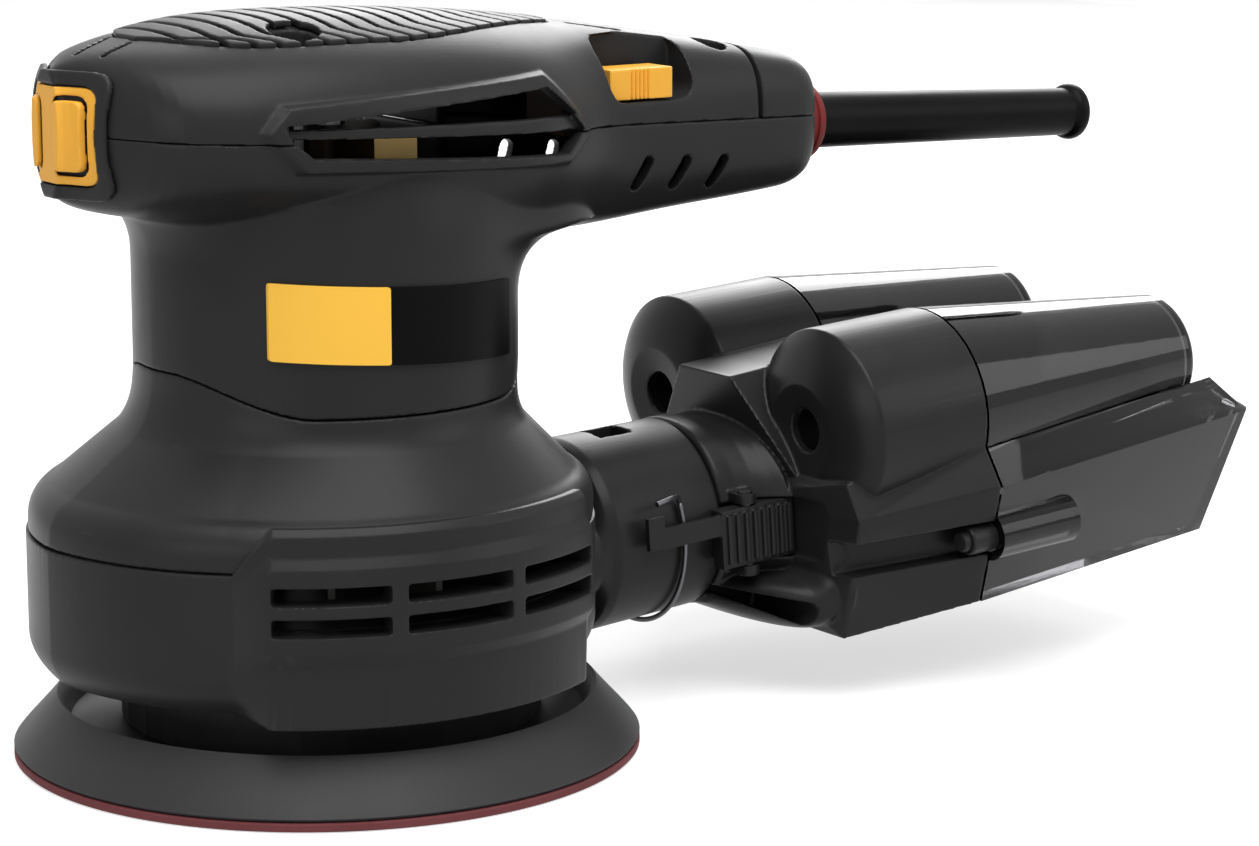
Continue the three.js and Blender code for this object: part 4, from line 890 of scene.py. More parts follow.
@dataclass(frozen=True)
class Finish:
    """One surface finish of the sander.

    Attributes:
        name: material name.
        slot: the record's material slot that it belongs to; not used.
        colour: linear base colour.
        rough: middle roughness.
        rough_spread: how far the roughness wanders either way.
        metal: metallic share.
        grain: grain cells per metre.
        grain_depth: height of the grain, in metres.
        tint: colour towards which the mottling pulls.
        tint_share: the most of that tint.
        worn: colour of rubbed edges.
        worn_share: the most of that colour.
        coat: clear coat weight.
        clear: transmission weight.
        shine: strength of the surface reflection, 0.5 for plain plastic.
    """

    name: str
    slot: str
    colour: Triple
    rough: float = 0.5
    rough_spread: float = 0.06
    metal: float = 0.0
    grain: float = 1800.0
    grain_depth: float = 0.00003
    tint: Triple = (0.1, 0.1, 0.1)
    tint_share: float = 0.15
    worn: Triple = (0.12, 0.12, 0.12)
    worn_share: float = 0.25
    coat: float = 0.0
    clear: float = 0.0
    shine: float = 0.5

    def material(self, effects: Effects) -> bpy.types.Material:
        """Build the material of this finish.

        Args:
            effects: the shared node groups.

        Returns:
            The material, built once and found again by its name.
        """
        found = bpy.data.materials.get(self.name)
        if found:
            return found
        made = bpy.data.materials.new(self.name)
        made.use_nodes = True
        made.diffuse_color = (*self.colour, 1.0)
        tree = made.node_tree
        shader = tree.nodes["Principled BSDF"]
        shader.inputs["Metallic"].default_value = self.metal
        shader.inputs["Coat Weight"].default_value = self.coat
        shader.inputs["Specular IOR Level"].default_value = self.shine
        shader.inputs["Coat Roughness"].default_value = 0.12
        if self.clear:
            shader.inputs["Transmission Weight"].default_value = self.clear
            shader.inputs["IOR"].default_value = CLEAR_INDEX

        mottle = self._place(tree, effects.group(Effect.MOTTLE), Scale=45.0, Contrast=1.8)
        wear = self._place(tree, effects.group(Effect.WEAR), Onset=0.53, Breakup=260.0)
        grain = self._place(tree, effects.group(Effect.GRAIN), Scale=self.grain, Roundness=0.55)

        tinted = self._mix(tree, self.colour, self.tint, mottle.outputs["Mask"], self.tint_share)
        rubbed = self._mix(tree, tinted, self.worn, wear.outputs["Mask"], self.worn_share)
        tree.links.new(rubbed, shader.inputs["Base Color"])

        gloss = tree.nodes.new("ShaderNodeMapRange")
        gloss.inputs["To Min"].default_value = max(0.02, self.rough - self.rough_spread)
        gloss.inputs["To Max"].default_value = self.rough + self.rough_spread
        tree.links.new(mottle.outputs["Mask"], gloss.inputs["Value"])
        tree.links.new(gloss.outputs["Result"], shader.inputs["Roughness"])

        bump = tree.nodes.new("ShaderNodeBump")
        bump.inputs["Distance"].default_value = self.grain_depth
        tree.links.new(grain.outputs["Height"], bump.inputs["Height"])
        tree.links.new(bump.outputs["Normal"], shader.inputs["Normal"])
        return made

    @staticmethod
    def _place(tree: Tree, group: Tree, **values: float) -> bpy.types.Node:
        """Place a group in a material with its own values.

        Args:
            tree: the material's node tree.
            group: the group to place.
            **values: socket names and numbers.

        Returns:
            The group node.
        """
        node = tree.nodes.new("ShaderNodeGroup")
        node.node_tree = group
        for socket, value in values.items():
            node.inputs[socket].default_value = value
        return node

    @staticmethod
    def _mix(tree: Tree, start: Triple | Socket, end: Triple, mask: Socket, share: float) -> Socket:
        """Mix one colour into another by a mask.

        Args:
            tree: the material's node tree.
            start: colour, or socket of a colour, where the mask is 0.
            end: colour where the mask is 1.
            mask: socket of the mask.
            share: the most of the end colour.

        Returns:
            The socket of the mixed colour.
        """
        mix = tree.nodes.new("ShaderNodeMix")
        mix.data_type = "RGBA"
        tree.links.new(math_node(tree, "MULTIPLY", mask, share), mix.inputs[0])
        if isinstance(start, tuple):
            mix.inputs[6].default_value = (*start, 1.0)
        else:
            tree.links.new(start, mix.inputs[6])
        mix.inputs[7].default_value = (*end, 1.0)
        return mix.outputs[2]


HOUSING_BLACK = Finish(
    "housing_nylon", "shell_black", (0.0145, 0.0145, 0.0152), rough=0.37, shine=0.13, grain_depth=0.00002,
    tint=(0.045, 0.045, 0.045), worn=(0.08, 0.08, 0.08),
)
COLLECTOR_BLACK = Finish(
    "collector_nylon", "shell_black", (0.0115, 0.0115, 0.012), rough=0.34, shine=0.15, grain_depth=0.000012,
    tint=(0.04, 0.04, 0.04), worn=(0.06, 0.06, 0.06),
)
PLATE_BLACK = Finish(
    "plate_black", "shell_black", (0.0012, 0.0012, 0.0012), rough=0.3, shine=0.05, grain_depth=0.000004,
    tint=(0.01, 0.01, 0.01), worn_share=0.0,
)
GRIP_RUBBER = Finish(
    "grip_rubber", "rubber_black", (0.0115, 0.0115, 0.012), rough=0.42, shine=0.16, grain=2600.0,
    worn_share=0.1, tint=(0.04, 0.04, 0.04),
)
SLEEVE_RUBBER = Finish(
    "sleeve_rubber", "rubber_black", (0.0015, 0.0015, 0.0016), rough=0.34, shine=0.06, grain=2600.0,
    worn_share=0.05, tint=(0.02, 0.02, 0.02),
)
PAD_RUBBER = Finish(
    "pad_rubber", "rubber_black", (0.022, 0.022, 0.023), rough=0.5, shine=0.2, grain=2200.0,
    tint=(0.05, 0.05, 0.05), grain_depth=0.00004,
)
TRIM_YELLOW = Finish(
    "moulded_yellow", "trim_yellow", (0.87, 0.43, 0.045), rough=0.45, grain_depth=0.000012, shine=0.3,
    tint=(0.78, 0.36, 0.03), tint_share=0.35, worn=(0.95, 0.6, 0.25), worn_share=0.15,
)
PLATE_YELLOW = Finish(
    "plate_yellow", "trim_yellow", (0.98, 0.55, 0.06), rough=0.4, grain_depth=0.000004, shine=0.3,
    tint=(0.93, 0.5, 0.05), tint_share=0.3, worn_share=0.0,
)
GROMMET_RED = Finish("moulded_red", "grommet_red", (0.16, 0.014, 0.012), rough=0.5, shine=0.2,
                     tint=(0.12, 0.01, 0.01), tint_share=0.4, worn=(0.2, 0.03, 0.03))
STEEL = Finish("ground_steel", "steel", (0.55, 0.55, 0.57), rough=0.3, metal=1.0, grain=900.0,
               grain_depth=0.00001)
DARK_STEEL = Finish("blackened_steel", "dark_steel", (0.12, 0.12, 0.13), rough=0.38, metal=1.0,
                    grain_depth=0.00001)
COPPER = Finish("enamelled_copper", "copper", (0.6, 0.2, 0.08), rough=0.32, metal=1.0, grain=1200.0)
# Copper darkened as painted shade: the commutator sits in the shade inside the housing, behind the vent.
SHADED_COPPER = Finish("shaded_copper", "brass", (0.07, 0.045, 0.03), rough=0.6, metal=1.0, grain_depth=0.00001)
BRASS = Finish("rolled_brass", "brass", (0.36, 0.24, 0.08), rough=0.5, metal=1.0, grain_depth=0.00001)
CARBON = Finish("pressed_carbon", "carbon", (0.03, 0.03, 0.032), rough=0.6)
PHENOLIC = Finish("phenolic", "insulation", (0.14, 0.07, 0.035), rough=0.5, tint=(0.2, 0.1, 0.05),
                  tint_share=0.5)
FAN_NYLON = Finish("fan_nylon", "insulation", (0.05, 0.048, 0.045), rough=0.5, tint=(0.1, 0.09, 0.08),
                   tint_share=0.4)
CLEAR_PLASTIC = Finish(
    "clear_plastic", "clear_smoke", (0.062, 0.062, 0.065), rough=0.04, rough_spread=0.02, clear=1.0,
    shine=0.3, grain=45.0, grain_depth=0.0001, tint=(0.09, 0.09, 0.095), tint_share=0.25,
    worn=(0.2, 0.2, 0.2), worn_share=0.1,
)
ABRASIVE = Finish(
    "abrasive_grit", "abrasive", (0.15, 0.03, 0.035), rough=0.85, grain=3500.0, grain_depth=0.0001,
    tint=(0.1, 0.02, 0.02), tint_share=0.6, worn_share=0.0,
)

NODE_FINISHES: dict[Finish, tuple[str, ...]] = {
    HOUSING_BLACK: ("skirt_housing", "shoulder_cover", "motor_housing", "top_cover", "side_plate_rear",
                  "fan_shroud"),
    COLLECTOR_BLACK: ("dust_head", "latch_lever", "bin_catch_left", "bin_catch_right"),
    GRIP_RUBBER: ("grip_pad", "bumper_frame", "cord_sleeve", "pad_brake_ring"),
    PAD_RUBBER: ("backing_pad",),
    TRIM_YELLOW: ("bumper_insert", "side_plate_front", "switch_slider"),
    GROMMET_RED: ("cord_grommet",),
    STEEL: ("pad_spindle", "pad_bearing", "rotor_shaft", "lower_bearing", "upper_bearing"),
    DARK_STEEL: ("latch_pin", "latch_wire", "pad_screw", "armature_core", "bearing_bracket", "stator_core",
                 "cover_screw_1", "cover_screw_2", "cover_screw_3", "cover_screw_4"),
    COPPER: ("winding_lower", "winding_upper", "field_coil_left", "field_coil_right"),
    # The commutator gets the copper that is darkened as painted shade.
    SHADED_COPPER: ("commutator",),
    BRASS: ("counterweight", "brush_holder_left", "brush_holder_right"),
    CARBON: ("carbon_brush_left", "carbon_brush_right"),
    PHENOLIC: ("brush_bracket", "switch_body"),
    FAN_NYLON: ("fan",),
    CLEAR_PLASTIC: ("dust_bin", "cyclone_tube_left", "cyclone_tube_right"),
    ABRASIVE: ("abrasive_disc",),
}


def dress_frame(nodes: dict[str, bpy.types.Object], effects: Effects) -> None:
    """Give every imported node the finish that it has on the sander.

    Args:
        nodes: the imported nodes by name.
        effects: the shared node groups.
    """
    for finish, names in NODE_FINISHES.items():
        for name in names:
            if not nodes[name].material_slots:
                nodes[name].data.materials.append(None)
            for entry in nodes[name].material_slots:
                entry.material = finish.material(effects)
    log.info("dressed %d nodes", len(nodes))


# ---------------------------------------------------------------------------- making pieces


@dataclass
class Bench:
    """Turns solids into pieces of the sander."""

    effects: Effects

    def piece(self, name: str, solid: Solid, finish: Finish, body: str, *nodes: str,
              crease: float = 40.0) -> None:
        """Make one piece that rides on a body.

        Args:
            name: name of the piece.
            solid: its shape in millimetres.
            finish: its surface.
            body: the frame's body that carries it.
            *nodes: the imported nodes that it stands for.
            crease: edges steeper than this many degrees stay sharp.
        """
        mesh = solid.mesh.copy()
        mesh.name = name
        mesh.transform(Matrix.Scale(MM, 4))
        mesh.materials.clear()
        mesh.materials.append(finish.material(self.effects))
        mesh.shade_smooth()
        mesh.set_sharp_from_angle(angle=math.radians(crease))
        made = bpy.data.objects.new(name, mesh)
        bpy.context.scene.collection.objects.link(made)
        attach(made, body)
        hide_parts(*nodes)
        log.info("%s: %d faces", name, len(mesh.polygons))


def moulded(solid: Solid, voxel: float, rounds: int = 1, faces: int = 140_000,
            blend: Callable[[np.ndarray], np.ndarray] | None = None) -> Solid:
    """Return a solid with the softened edges of a moulding.

    Args:
        solid: the sharp solid.
        voxel: size of its new faces in millimetres.
        rounds: passes of softening.
        faces: the most triangles to keep.
        blend: takes the points and returns where, from 0 to 1, they flow into each other.

    Returns:
        The softened solid.
    """
    skin = solid.refined(voxel)
    skin = skin.relaxed(np.ones(len(skin.mesh.vertices)), rounds)
    if blend is not None:
        skin = skin.relaxed(blend(skin.points()), BLEND_ROUNDS)
    return skin.slimmed(faces)


# ---------------------------------------------------------------------------- head


@dataclass
class HeadUnit:
    """Motor housing, top cover and the trim on them."""

    bench: Bench
    body: Body = field(default_factory=Body)
    head: Head = field(default_factory=Head)
    # Corners of the vents: x, and rise over the parting height.
    vent_outer: tuple[Point, ...] = (
        (-31.6, 3.2), (-27, 7.9), (32, 10.7), (46.2, -2), (38.6, -7.3), (-24.2, -4.5))
    vent_inner: tuple[Point, ...] = (
        (-28, 4.4), (31.5, 8), (42.8, -0.9), (37.2, -5.4), (-22.2, -1.9), (-26.8, 1.9))
    vent_upper: tuple[Point, ...] = ((-27.2, 3.6), (-26, 4.5), (31.5, 8), (40.4, 1.9))
    vent_lower: tuple[Point, ...] = ((-26.6, 1.9), (42.3, -1.1), (37.2, -5.4), (-22.2, -1.9))
    vent_rim: float = 1.3
    # Steps of the rim: how far each spreads, and its share of the rim's height.
    vent_steps: tuple[Point, ...] = ((0.55, 0.36), (0.0, 0.72), (-0.55, 1.15))
    vent_reach: tuple[float, float] = (18.0, 60.0)
    baffle: tuple[float, float] = (29.5, 31.5)
    recess: tuple[float, float] = (54.5, 77.5)
    recess_rise: tuple[float, float] = (2.0, 15.2)
    recess_floor: float = -8.1
    slider_back: float = -10.3
    # Place along, place across and radius of the screw wells.
    wells: tuple[Triple, ...] = ((-16, 18.5, 4.6), (88.5, 7, 3.6))
    well_wall: float = 1.4
    well_seat: float = 6.0
    cord_drop: float = 2.4
    cord_bore: float = 5.8
    # Start, end and width of the slits moulded into the top.
    top_slits: tuple[tuple[Point, Point, float], ...] = (
        ((-49.8, -7.1), (-43.2, -4.9), 1.0), ((-52.0, -0.3), (-42.6, 5.2), 1.0),
        ((54.1, -5.3), (66.2, -6.5), 0.8))
    slit_depth: float = 1.4
    groove: tuple[float, float] = (95.1, 96.3)
    groove_depth: float = 1.5
    slot_size: tuple[float, float] = (2.6, 7.4)
    slot_lean: float = 24.0
    slot_start: float = 64.5
    slot_pitch: float = 10.2
    slot_drop: float = 12.6
    grip_front: float = -42.0
    grip_rear: float = 49.0
    grip_half: float = 25.0
    grip_depth: float = 1.1
    grip_proud: float = 0.5
    rib_pitch: float = 4.8
    rib_gap: float = 1.15
    rib_root: float = 0.85
    bumper_rise: float = 1.9
    bumper_pad: tuple[float, float] = (6.4, 13.2)
    plate_height: float = 14.8
    plate_thick: float = 0.5
    plate_fall: float = 0.057
    voxel: float = 0.34

    @property
    def level(self) -> float:
        """Return the height that the head's features are counted from."""
        return self.body.parting_height

    @property
    def sky(self) -> float:
        """Return a height over the whole head."""
        return self.level + 40

    def build(self) -> None:
        """Make every piece of the head."""
        outer = self.head.form(0).join(self.body.neck(0))
        inner = self.head.form(WALL).join(self.body.neck(WALL))
        self._housing(outer.cut(inner))
        self._cover()
        self._grip()
        self._bumper()
        self._plates()
        self._slider()

    def _lip(self, gap: float) -> Solid:
        """Return the inner half of the wall from just under the joint upwards: the cover's lip."""
        return self.head.form(WALL * 0.55 - gap).common(self.head.half_space(1).shifted(z=-1.5 - gap))

    def _outline(self, corners: Sequence[Point]) -> list[Point]:
        """Return corners with their rise over the cover joint turned into a height."""
        return [(x, self.level + rise) for x, rise in corners]

    @staticmethod
    def _spread(corners: Sequence[Point], grow: float) -> list[Point]:
        """Move the corners of an outline away from its middle.

        Args:
            corners: the outline.
            grow: how far each corner moves.

        Returns:
            The spread outline.
        """
        middle = np.mean(corners, axis=0)
        out = []
        for corner in corners:
            away = np.array(corner) - middle
            out.append(tuple(np.array(corner) + away / np.linalg.norm(away) * grow))
        return out

    def _vented(self, shape: Solid) -> Solid:
        """Give a shell the stepped rims, the sunk fields and the openings of both vents.

        Args:
            shape: the shell.

        Returns:
            The shell with its vents.
        """
        outer = self._outline(self.vent_outer)
        for side in (-1, 1):
            reach = sorted(side * away for away in self.vent_reach)
            steps = [self.head.skin(-0.4, self.vent_rim * share,
                                    prism(self._spread(outer, grow), *reach, Plane.SIDE))
                     for grow, share in self.vent_steps]
            well, *holes = [prism(self._outline(corners), *reach, Plane.SIDE)
                            for corners in (self.vent_inner, self.vent_upper, self.vent_lower)]
            sunk = self.head.skin(-0.2, 4.0, well)
            shape = shape.join(steps[0].join(*steps[1:])).cut(sunk, *holes)
        return shape

    def _baffle(self) -> Solid:
        """Return the cross rib behind the far vent, which carries the leads past the motor."""
        front, back = self.baffle
        return block((front, 4, self.level - 20), (back, 34, self.sky)).common(self.head.form(WALL / 2))

    def _cord_bore(self) -> Solid:
        """Return the bore of the cord's entry."""
        bore = rod(self.cord_bore, self.head.rear - 20, self.head.rear + 10, axis="X")
        return bore.moved(cord_line(self.body, self.cord_drop))

    def _handle_slots(self) -> list[Solid]:
        """Cut the leaning slots under the handle; the far side's are one pitch further forward.

        Returns:
            The cutters, three to a side.
        """
        width, height = self.slot_size
        slot = prism(rounded(rectangle(width, height), width / 2 - 0.01), -6, 6, Plane.SIDE)
        leaning = slot.moved(Matrix.Rotation(math.radians(self.slot_lean), 4, "Y"))
        return [
            leaning.shifted(self.slot_start + place * self.slot_pitch, side * (17 - place * 1.5),
                            self.level - self.slot_drop - place * 0.6)
            for side, places in ((-1, (0, 1, 2)), (1, (-1, 0, 1)))
            for place in places
        ]

    def _housing(self, shell: Solid) -> None:
        """Make the motor housing: everything under the cover joint.

        Args:
            shell: head and neck as one hollow form.
        """
        shape = self._vented(shell).join(self._baffle())
        cuts = (*self._handle_slots(), self._cord_bore(), self._lip(0.2))
        shape = shape.cut(*cuts).common(self.head.half_space(-1))
        shape = moulded(shape, self.voxel, blend=self._neck_root)
        self.bench.piece("motor_shell", shape, HOUSING_BLACK, "housing", "motor_housing")

    def _neck_root(self, points: np.ndarray) -> np.ndarray:
        """Say where the neck flows into the head.

        Args:
            points: points of the housing.

        Returns:
            1 in the flowing band and 0 away from it, for each point.
        """
        rise = points[:, 2] - self.level
        band = smooth(rise, -37, -31) * (1 - smooth(rise, -15, -10.5))
        return band * (1 - smooth(points[:, 0], 46, 54))

    def _recess_outline(self, grow: float) -> list[Point]:
        """Return the outline of the switch recess.

        Args:
            grow: margin round it.

        Returns:
            The rounded outline.
        """
        left, right = self.recess[0] - grow, self.recess[1] + grow
        low, high = self.level + self.recess_rise[0] - grow, self.level + self.recess_rise[1] + grow
        corners = [(left + 1, low), (right, low), (right, high - 1.5), (right - 7, high), (left - 1.5, high)]
        return rounded(corners, 4.0)

    def _screw_wells(self, seat: Solid) -> tuple[list[Solid], list[Solid]]:
        """Return what the screw wells add to the cover and what they take away.

        Args:
            seat: form that the walls of the wells stay inside.

        Returns:
            The walls and the holes.
        """
        walls, holes = [], []
        for x, y, radius in self.wells:
            for side in (-1, 1):
                low = self.body.parting(x) + self.well_seat
                wall = rod(radius + self.well_wall, low - 1.6, self.sky)
                walls.append(wall.shifted(x, side * y).common(seat))
                holes.append(rod(radius, low, self.sky).shifted(x, side * y))
        return walls, holes

    def _cover(self) -> None:
        """Make the top cover with its recess, wells, grip seat and groove."""
        head, (left, right), floor = self.head, self.recess, self.recess_floor
        inside = head.form(WALL / 2)
        lining = prism(self._recess_outline(WALL), -40, floor + WALL, Plane.SIDE).common(inside)
        shape = head.form(0).cut(head.form(WALL)).join(lining)
        walls, holes = self._screw_wells(inside)
        shape = shape.join(*walls).cut(*holes, prism(self._recess_outline(0), -40, floor, Plane.SIDE))
        shape = shape.cut(head.skin(-self.grip_depth, 6, prism(self._grip_outline(0), self.level, self.sky)))
        shape = self._vented(shape).join(self._baffle())
        slot = block((left + 5.5, floor - 2, self.level + 3.9), (right - 2, floor + 6, self.level + 7.5))
        band = block((self.groove[0], -40, self.level - 14), (self.groove[1], 40, self.sky))
        groove = head.skin(-self.groove_depth, 6, band)
        marks = [head.skin(-self.slit_depth, 4, prism(line_outline(*ends, width), self.level + 4, self.sky))
                 for *ends, width in self.top_slits]
        upper = head.half_space(1).join(self._lip(0))
        shape = shape.cut(slot, groove, *marks, self._cord_bore()).common(upper)
        self.bench.piece("cover_shell", moulded(shape, self.voxel), HOUSING_BLACK, "housing", "top_cover")

    def _grip_outline(self, grow: float) -> list[Point]:
        """Return the plan of the grip, blunt at the front and drawn out to the rear.

        Args:
            grow: margin round it.

        Returns:
            The outline.
        """
        front, rear, half = self.grip_front - grow, self.grip_rear + grow, self.grip_half + grow
        side = bezier((front, -4), (front + 8, -half), (front + 18, -half), (0, -half), 14)
        side += bezier((0, -half), (18.7, -half), (35, -half + 12), (rear, -7), 14)[1:]
        return side + [(x, -y) for x, y in reversed(side)]

    def _grip_edge(self) -> tuple[list[float], list[float]]:
        """Measure the grip along its length.

        Returns:
            Places along it and its half width there.
        """
        outline = self._grip_outline(0)
        side = outline[: len(outline) // 2]
        return [x for x, _ in side], [-y for _, y in side]

    def _rib_cutters(self) -> list[Solid]:
        """Lay out what parts the grip's ribs: ribbons bowed across it and swept back at its edge.

        Returns:
            The cutters from front to rear.
        """
        across = np.linspace(-30, 30, 41)
        out = []
        for x in np.arange(self.grip_front + 4, self.grip_rear - 3, self.rib_pitch):
            half = float(np.interp(x + 4, *self._grip_edge()))
            swept = [x + 0.002 * y * y + 5.5 * smooth(abs(y), half - 6, half + 1) for y in across]
            back = [(place + self.rib_gap, y) for place, y in zip(reversed(swept), reversed(across))]
            out.append(prism([*zip(swept, across), *back], self.level, self.sky))
        return out

    def _grip(self) -> None:
        """Make the ribbed soft grip."""
        window = prism(self._grip_outline(-FIT), self.level, self.sky)
        pad = self.head.skin(FIT - self.grip_depth, self.grip_proud, window)
        grooves = self.head.form(-4).cut(self.head.form(self.rib_root))
        x, y, radius = self.wells[0]
        wells = [rod(radius + 0.5, self.level, self.sky).shifted(x, side * y) for side in (-1, 1)]
        first, *others = self._rib_cutters()
        pad = pad.cut(first.join(*others).common(grooves), *wells)
        self.bench.piece("grip", moulded(pad, 0.27), GRIP_RUBBER, "housing", "grip_pad")

    def _nose_window(self, width: float, height: float, radius: float, waist: float = 0.0,
                     shift: float = 0.0) -> Solid:
        """Return a rounded window through the nose.

        Args:
            width: across it.
            height: up it.
            radius: rounding of its corners.
            waist: how far its sides are drawn in halfway up.
            shift: place across the nose.

        Returns:
            The window as a prism.
        """
        z, front = self.level + self.bumper_rise, self.head.front
        corners = rectangle(width, height, (shift, z))
        if waist:
            corners = [*corners[:2], (width / 2 - waist, z), *corners[2:], (waist - width / 2, z)]
        return prism(rounded(corners, radius), front - 14, front + 13.5, Plane.FRONT)

    def _bumper(self) -> None:
        """Make the bumper on the nose: dark frame and yellow insert."""
        head, window, (width, height) = self.head, self._nose_window, self.bumper_pad
        frame = head.skin(FIT, 1.0, window(31, 24, 5.0, 0.9)).cut(window(25.8, 18.8, 3.8, 0.8))
        self.bench.piece("bumper_ring", moulded(frame, 0.3), GRIP_RUBBER, "housing", "bumper_frame")
        panel = head.skin(FIT, 0.8, window(25.2, 18.2, 3.4, 0.8))
        grooves, pads = [], []
        for y in (-6.3, 6.3):
            pad = window(width, height, 1.8, 0, y)
            grooves.append(head.skin(-0.3, 4.0, window(width + 1.8, height + 1.8, 2.6, 0, y).cut(pad)))
            pads.append(head.skin(FIT, 1.4, pad))
        panel = panel.cut(*grooves).join(*pads)
        self.bench.piece("bumper_pads", moulded(panel, 0.25), TRIM_YELLOW, "housing", "bumper_insert")

    def _plates(self) -> None:
        """Make the two bare plates on the near side of the neck."""
        tall = self.plate_height
        low = (self.body.joint_side + self.level - 14.2) / 2 - tall / 2
        skin = self.body.neck(-FIT - self.plate_thick).cut(self.body.neck(-FIT))
        for name, node, start, end, finish in (
            ("plate_yellow", "side_plate_front", -26.9, -6.9, PLATE_YELLOW),
            ("plate_black", "side_plate_rear", -6.7, 23.8, PLATE_BLACK),
        ):
            corners = [(x, low + up - self.plate_fall * (x + 26.8))
                       for x, up in ((start, 0), (end, 0), (end, tall), (start, tall))]
            plate = skin.common(prism(rounded(corners, 0.6), -60, -10, Plane.SIDE))
            self.bench.piece(name, plate, finish, "housing", node, crease=30)

    def _slider(self) -> None:
        """Make the thumb slider of the switch, with its five cut grooves."""
        front, back, low = self.recess[0] + 1.5, self.slider_back, self.level + 2.5
        shape = block((front, back - 8.4, low), (front + 15.2, back, low + 6.2))
        shape = shape.join(block((front + 5, back - 1, low + 1.7), (front + 9.5, back + 4.3, low + 4.7)))
        cuts = [block((front + 5.0 + i, back - 8.9, low - 1), (front + 5.45 + i, back - 7.8, low + 8))
                for i in range(5)]
        shape = moulded(shape.cut(*cuts), 0.2)
        self.bench.piece("thumb_slider", shape, TRIM_YELLOW, "switch", "switch_slider")


# ---------------------------------------------------------------------------- skirt


@dataclass
class SkirtUnit:
    """Skirt with its vent panels and dust port, and the shoulder above it."""

    bench: Bench
    port: Port
    body: Body = field(default_factory=Body)
    panel_depth: float = 2.7
    panel_low: float = 18.5
    panel_high: float = 56.5
    panel_middle: float = 92.5
    panel_half: float = 36.0
    panel_bevel: float = 8.0
    band_depth: float = 1.4
    band: tuple[float, float] = (33.0, 49.0)
    band_slope: float = 2.4
    slot_height: float = 3.4
    slot_pitch: float = 6.0
    slot_top: float = 45.8
    slot_reach: tuple[float, float] = (50.7, 62.7)
    bar_angle: float = 3.1
    tuck: float = 3.4
    floor: Triple = (20.5, 22.7, 30.0)
    voxel: float = 0.34

    def build(self) -> None:
        """Make both pieces."""
        self._shoulder()
        self._skirt()

    def _shoulder(self) -> None:
        """Make the cone between skirt and neck."""
        body, angle = self.body, self.body.angles()

        def row(inset: float, share: float) -> np.ndarray:
            """Return a row of points at a share of the way up."""
            z = lerp(body.skirt_top + FIT, body.joint(angle), share)
            return body.point(angle, body.radius(z) - inset, z, body.centre(z))

        outside = [row(0.0, share) for share in np.linspace(0, 1, 60)]
        inside = [row(WALL, share) for share in np.linspace(1, 0, 24)]
        shape = moulded(ring_loft(outside + inside), 0.4)
        self.bench.piece("shoulder_shell", shape, HOUSING_BLACK, "housing", "shoulder_cover")

    def _panel_share(self, angle: np.ndarray) -> np.ndarray:
        """Return 1 on the vent panels, 0 away from them and a slope between."""
        away = np.abs(np.abs(np.degrees(self.body.wrap(angle))) - self.panel_middle)
        return np.clip(1 - (away - self.panel_half) / self.panel_bevel, 0.0, 1.0)

    def _wall(self) -> Solid:
        """Make the wall: a plain profile and a panel profile, blended column by column.

        Returns:
            The wall as one solid.
        """
        body, angle = self.body, self.body.angles()
        share = self._panel_share(angle) * (np.degrees(body.wrap(angle)) < 0)
        radius, low, high = body.skirt_radius, body.skirt_bottom, body.skirt_top
        face = radius + self.panel_depth
        band, inner = face + self.band_depth, radius - WALL
        tucks = [(radius - self.tuck * (1 - s) ** 2, low + 7 * s, face, lerp(self.panel_low, 30.6, s))
                 for s in np.linspace(0, 1, 8)]
        profile = tucks + [
            (radius, self.band[0], band, self.band[0]), (radius, high - 1.5, band, self.band[1]),
            (radius, high - 1, face, self.band[1] + self.band_slope),
            (radius, high - 0.5, face, self.panel_high - 1.5),
            (radius, high, face - 1.2, self.panel_high), (radius, high, radius, self.panel_high),
            (radius, high, radius, high), (inner, high, inner, high), (inner, low + 7, inner, low + 7),
            (inner - self.tuck, low, inner, self.panel_low),
        ]
        rows = [body.point(angle, lerp(plain, raised, share), lerp(z, raised_z, share), body.skirt_centre)
                for plain, z, raised, raised_z in profile]
        return ring_loft(rows)

    def _slots(self, side: int) -> list[Solid]:
        """Return the grille's slots on one side.

        Args:
            side: -1 for the near side and 1 for the far side.

        Returns:
            The cutters, three to a row.
        """
        width = (2 * self.panel_half - 1 - 2 * self.bar_angle) / 3
        inner, outer = self.slot_reach
        out = []
        for column in range(3):
            middle = side * (self.panel_middle + (column - 1) * (width + self.bar_angle))
            arc = np.radians(np.linspace(middle - width / 2, middle + width / 2, 16))
            corners = [(self.body.skirt_centre + r * math.cos(a), r * math.sin(a))
                       for r, turn in ((outer, arc), (inner, arc[::-1])) for a in turn]
            for row in range(2):
                top = self.slot_top - row * self.slot_pitch
                out.append(prism(corners, top - self.slot_height, top))
        return out

    def _skirt(self) -> None:
        """Make the skirt with chamber floor, port and grilles."""
        body, port = self.body, self.port
        low, high, opening = self.floor
        angle = body.angles()
        ring = np.stack([body.spindle_x + opening * np.cos(angle), opening * np.sin(angle)], axis=1)
        edge = body.skirt_radius - self.tuck + 0.3
        hole = [np.column_stack([ring, np.full(len(ring), z)]) for z in (high, low)]
        floor = ring_loft([body.point(angle, edge, z, body.skirt_centre) for z in (low, high)] + hole)
        wall = self._wall()
        wall = wall.join(floor, port.tube().cut(body.plate(body.skirt_radius - WALL / 2, 0, 60)))
        shape = wall.cut(port.duct(), port.notch(), *self._slots(-1), *self._slots(1))
        self.bench.piece("skirt_shell", moulded(shape, self.voxel), HOUSING_BLACK, "housing", "skirt_housing")


# ---------------------------------------------------------------------------- port and collector


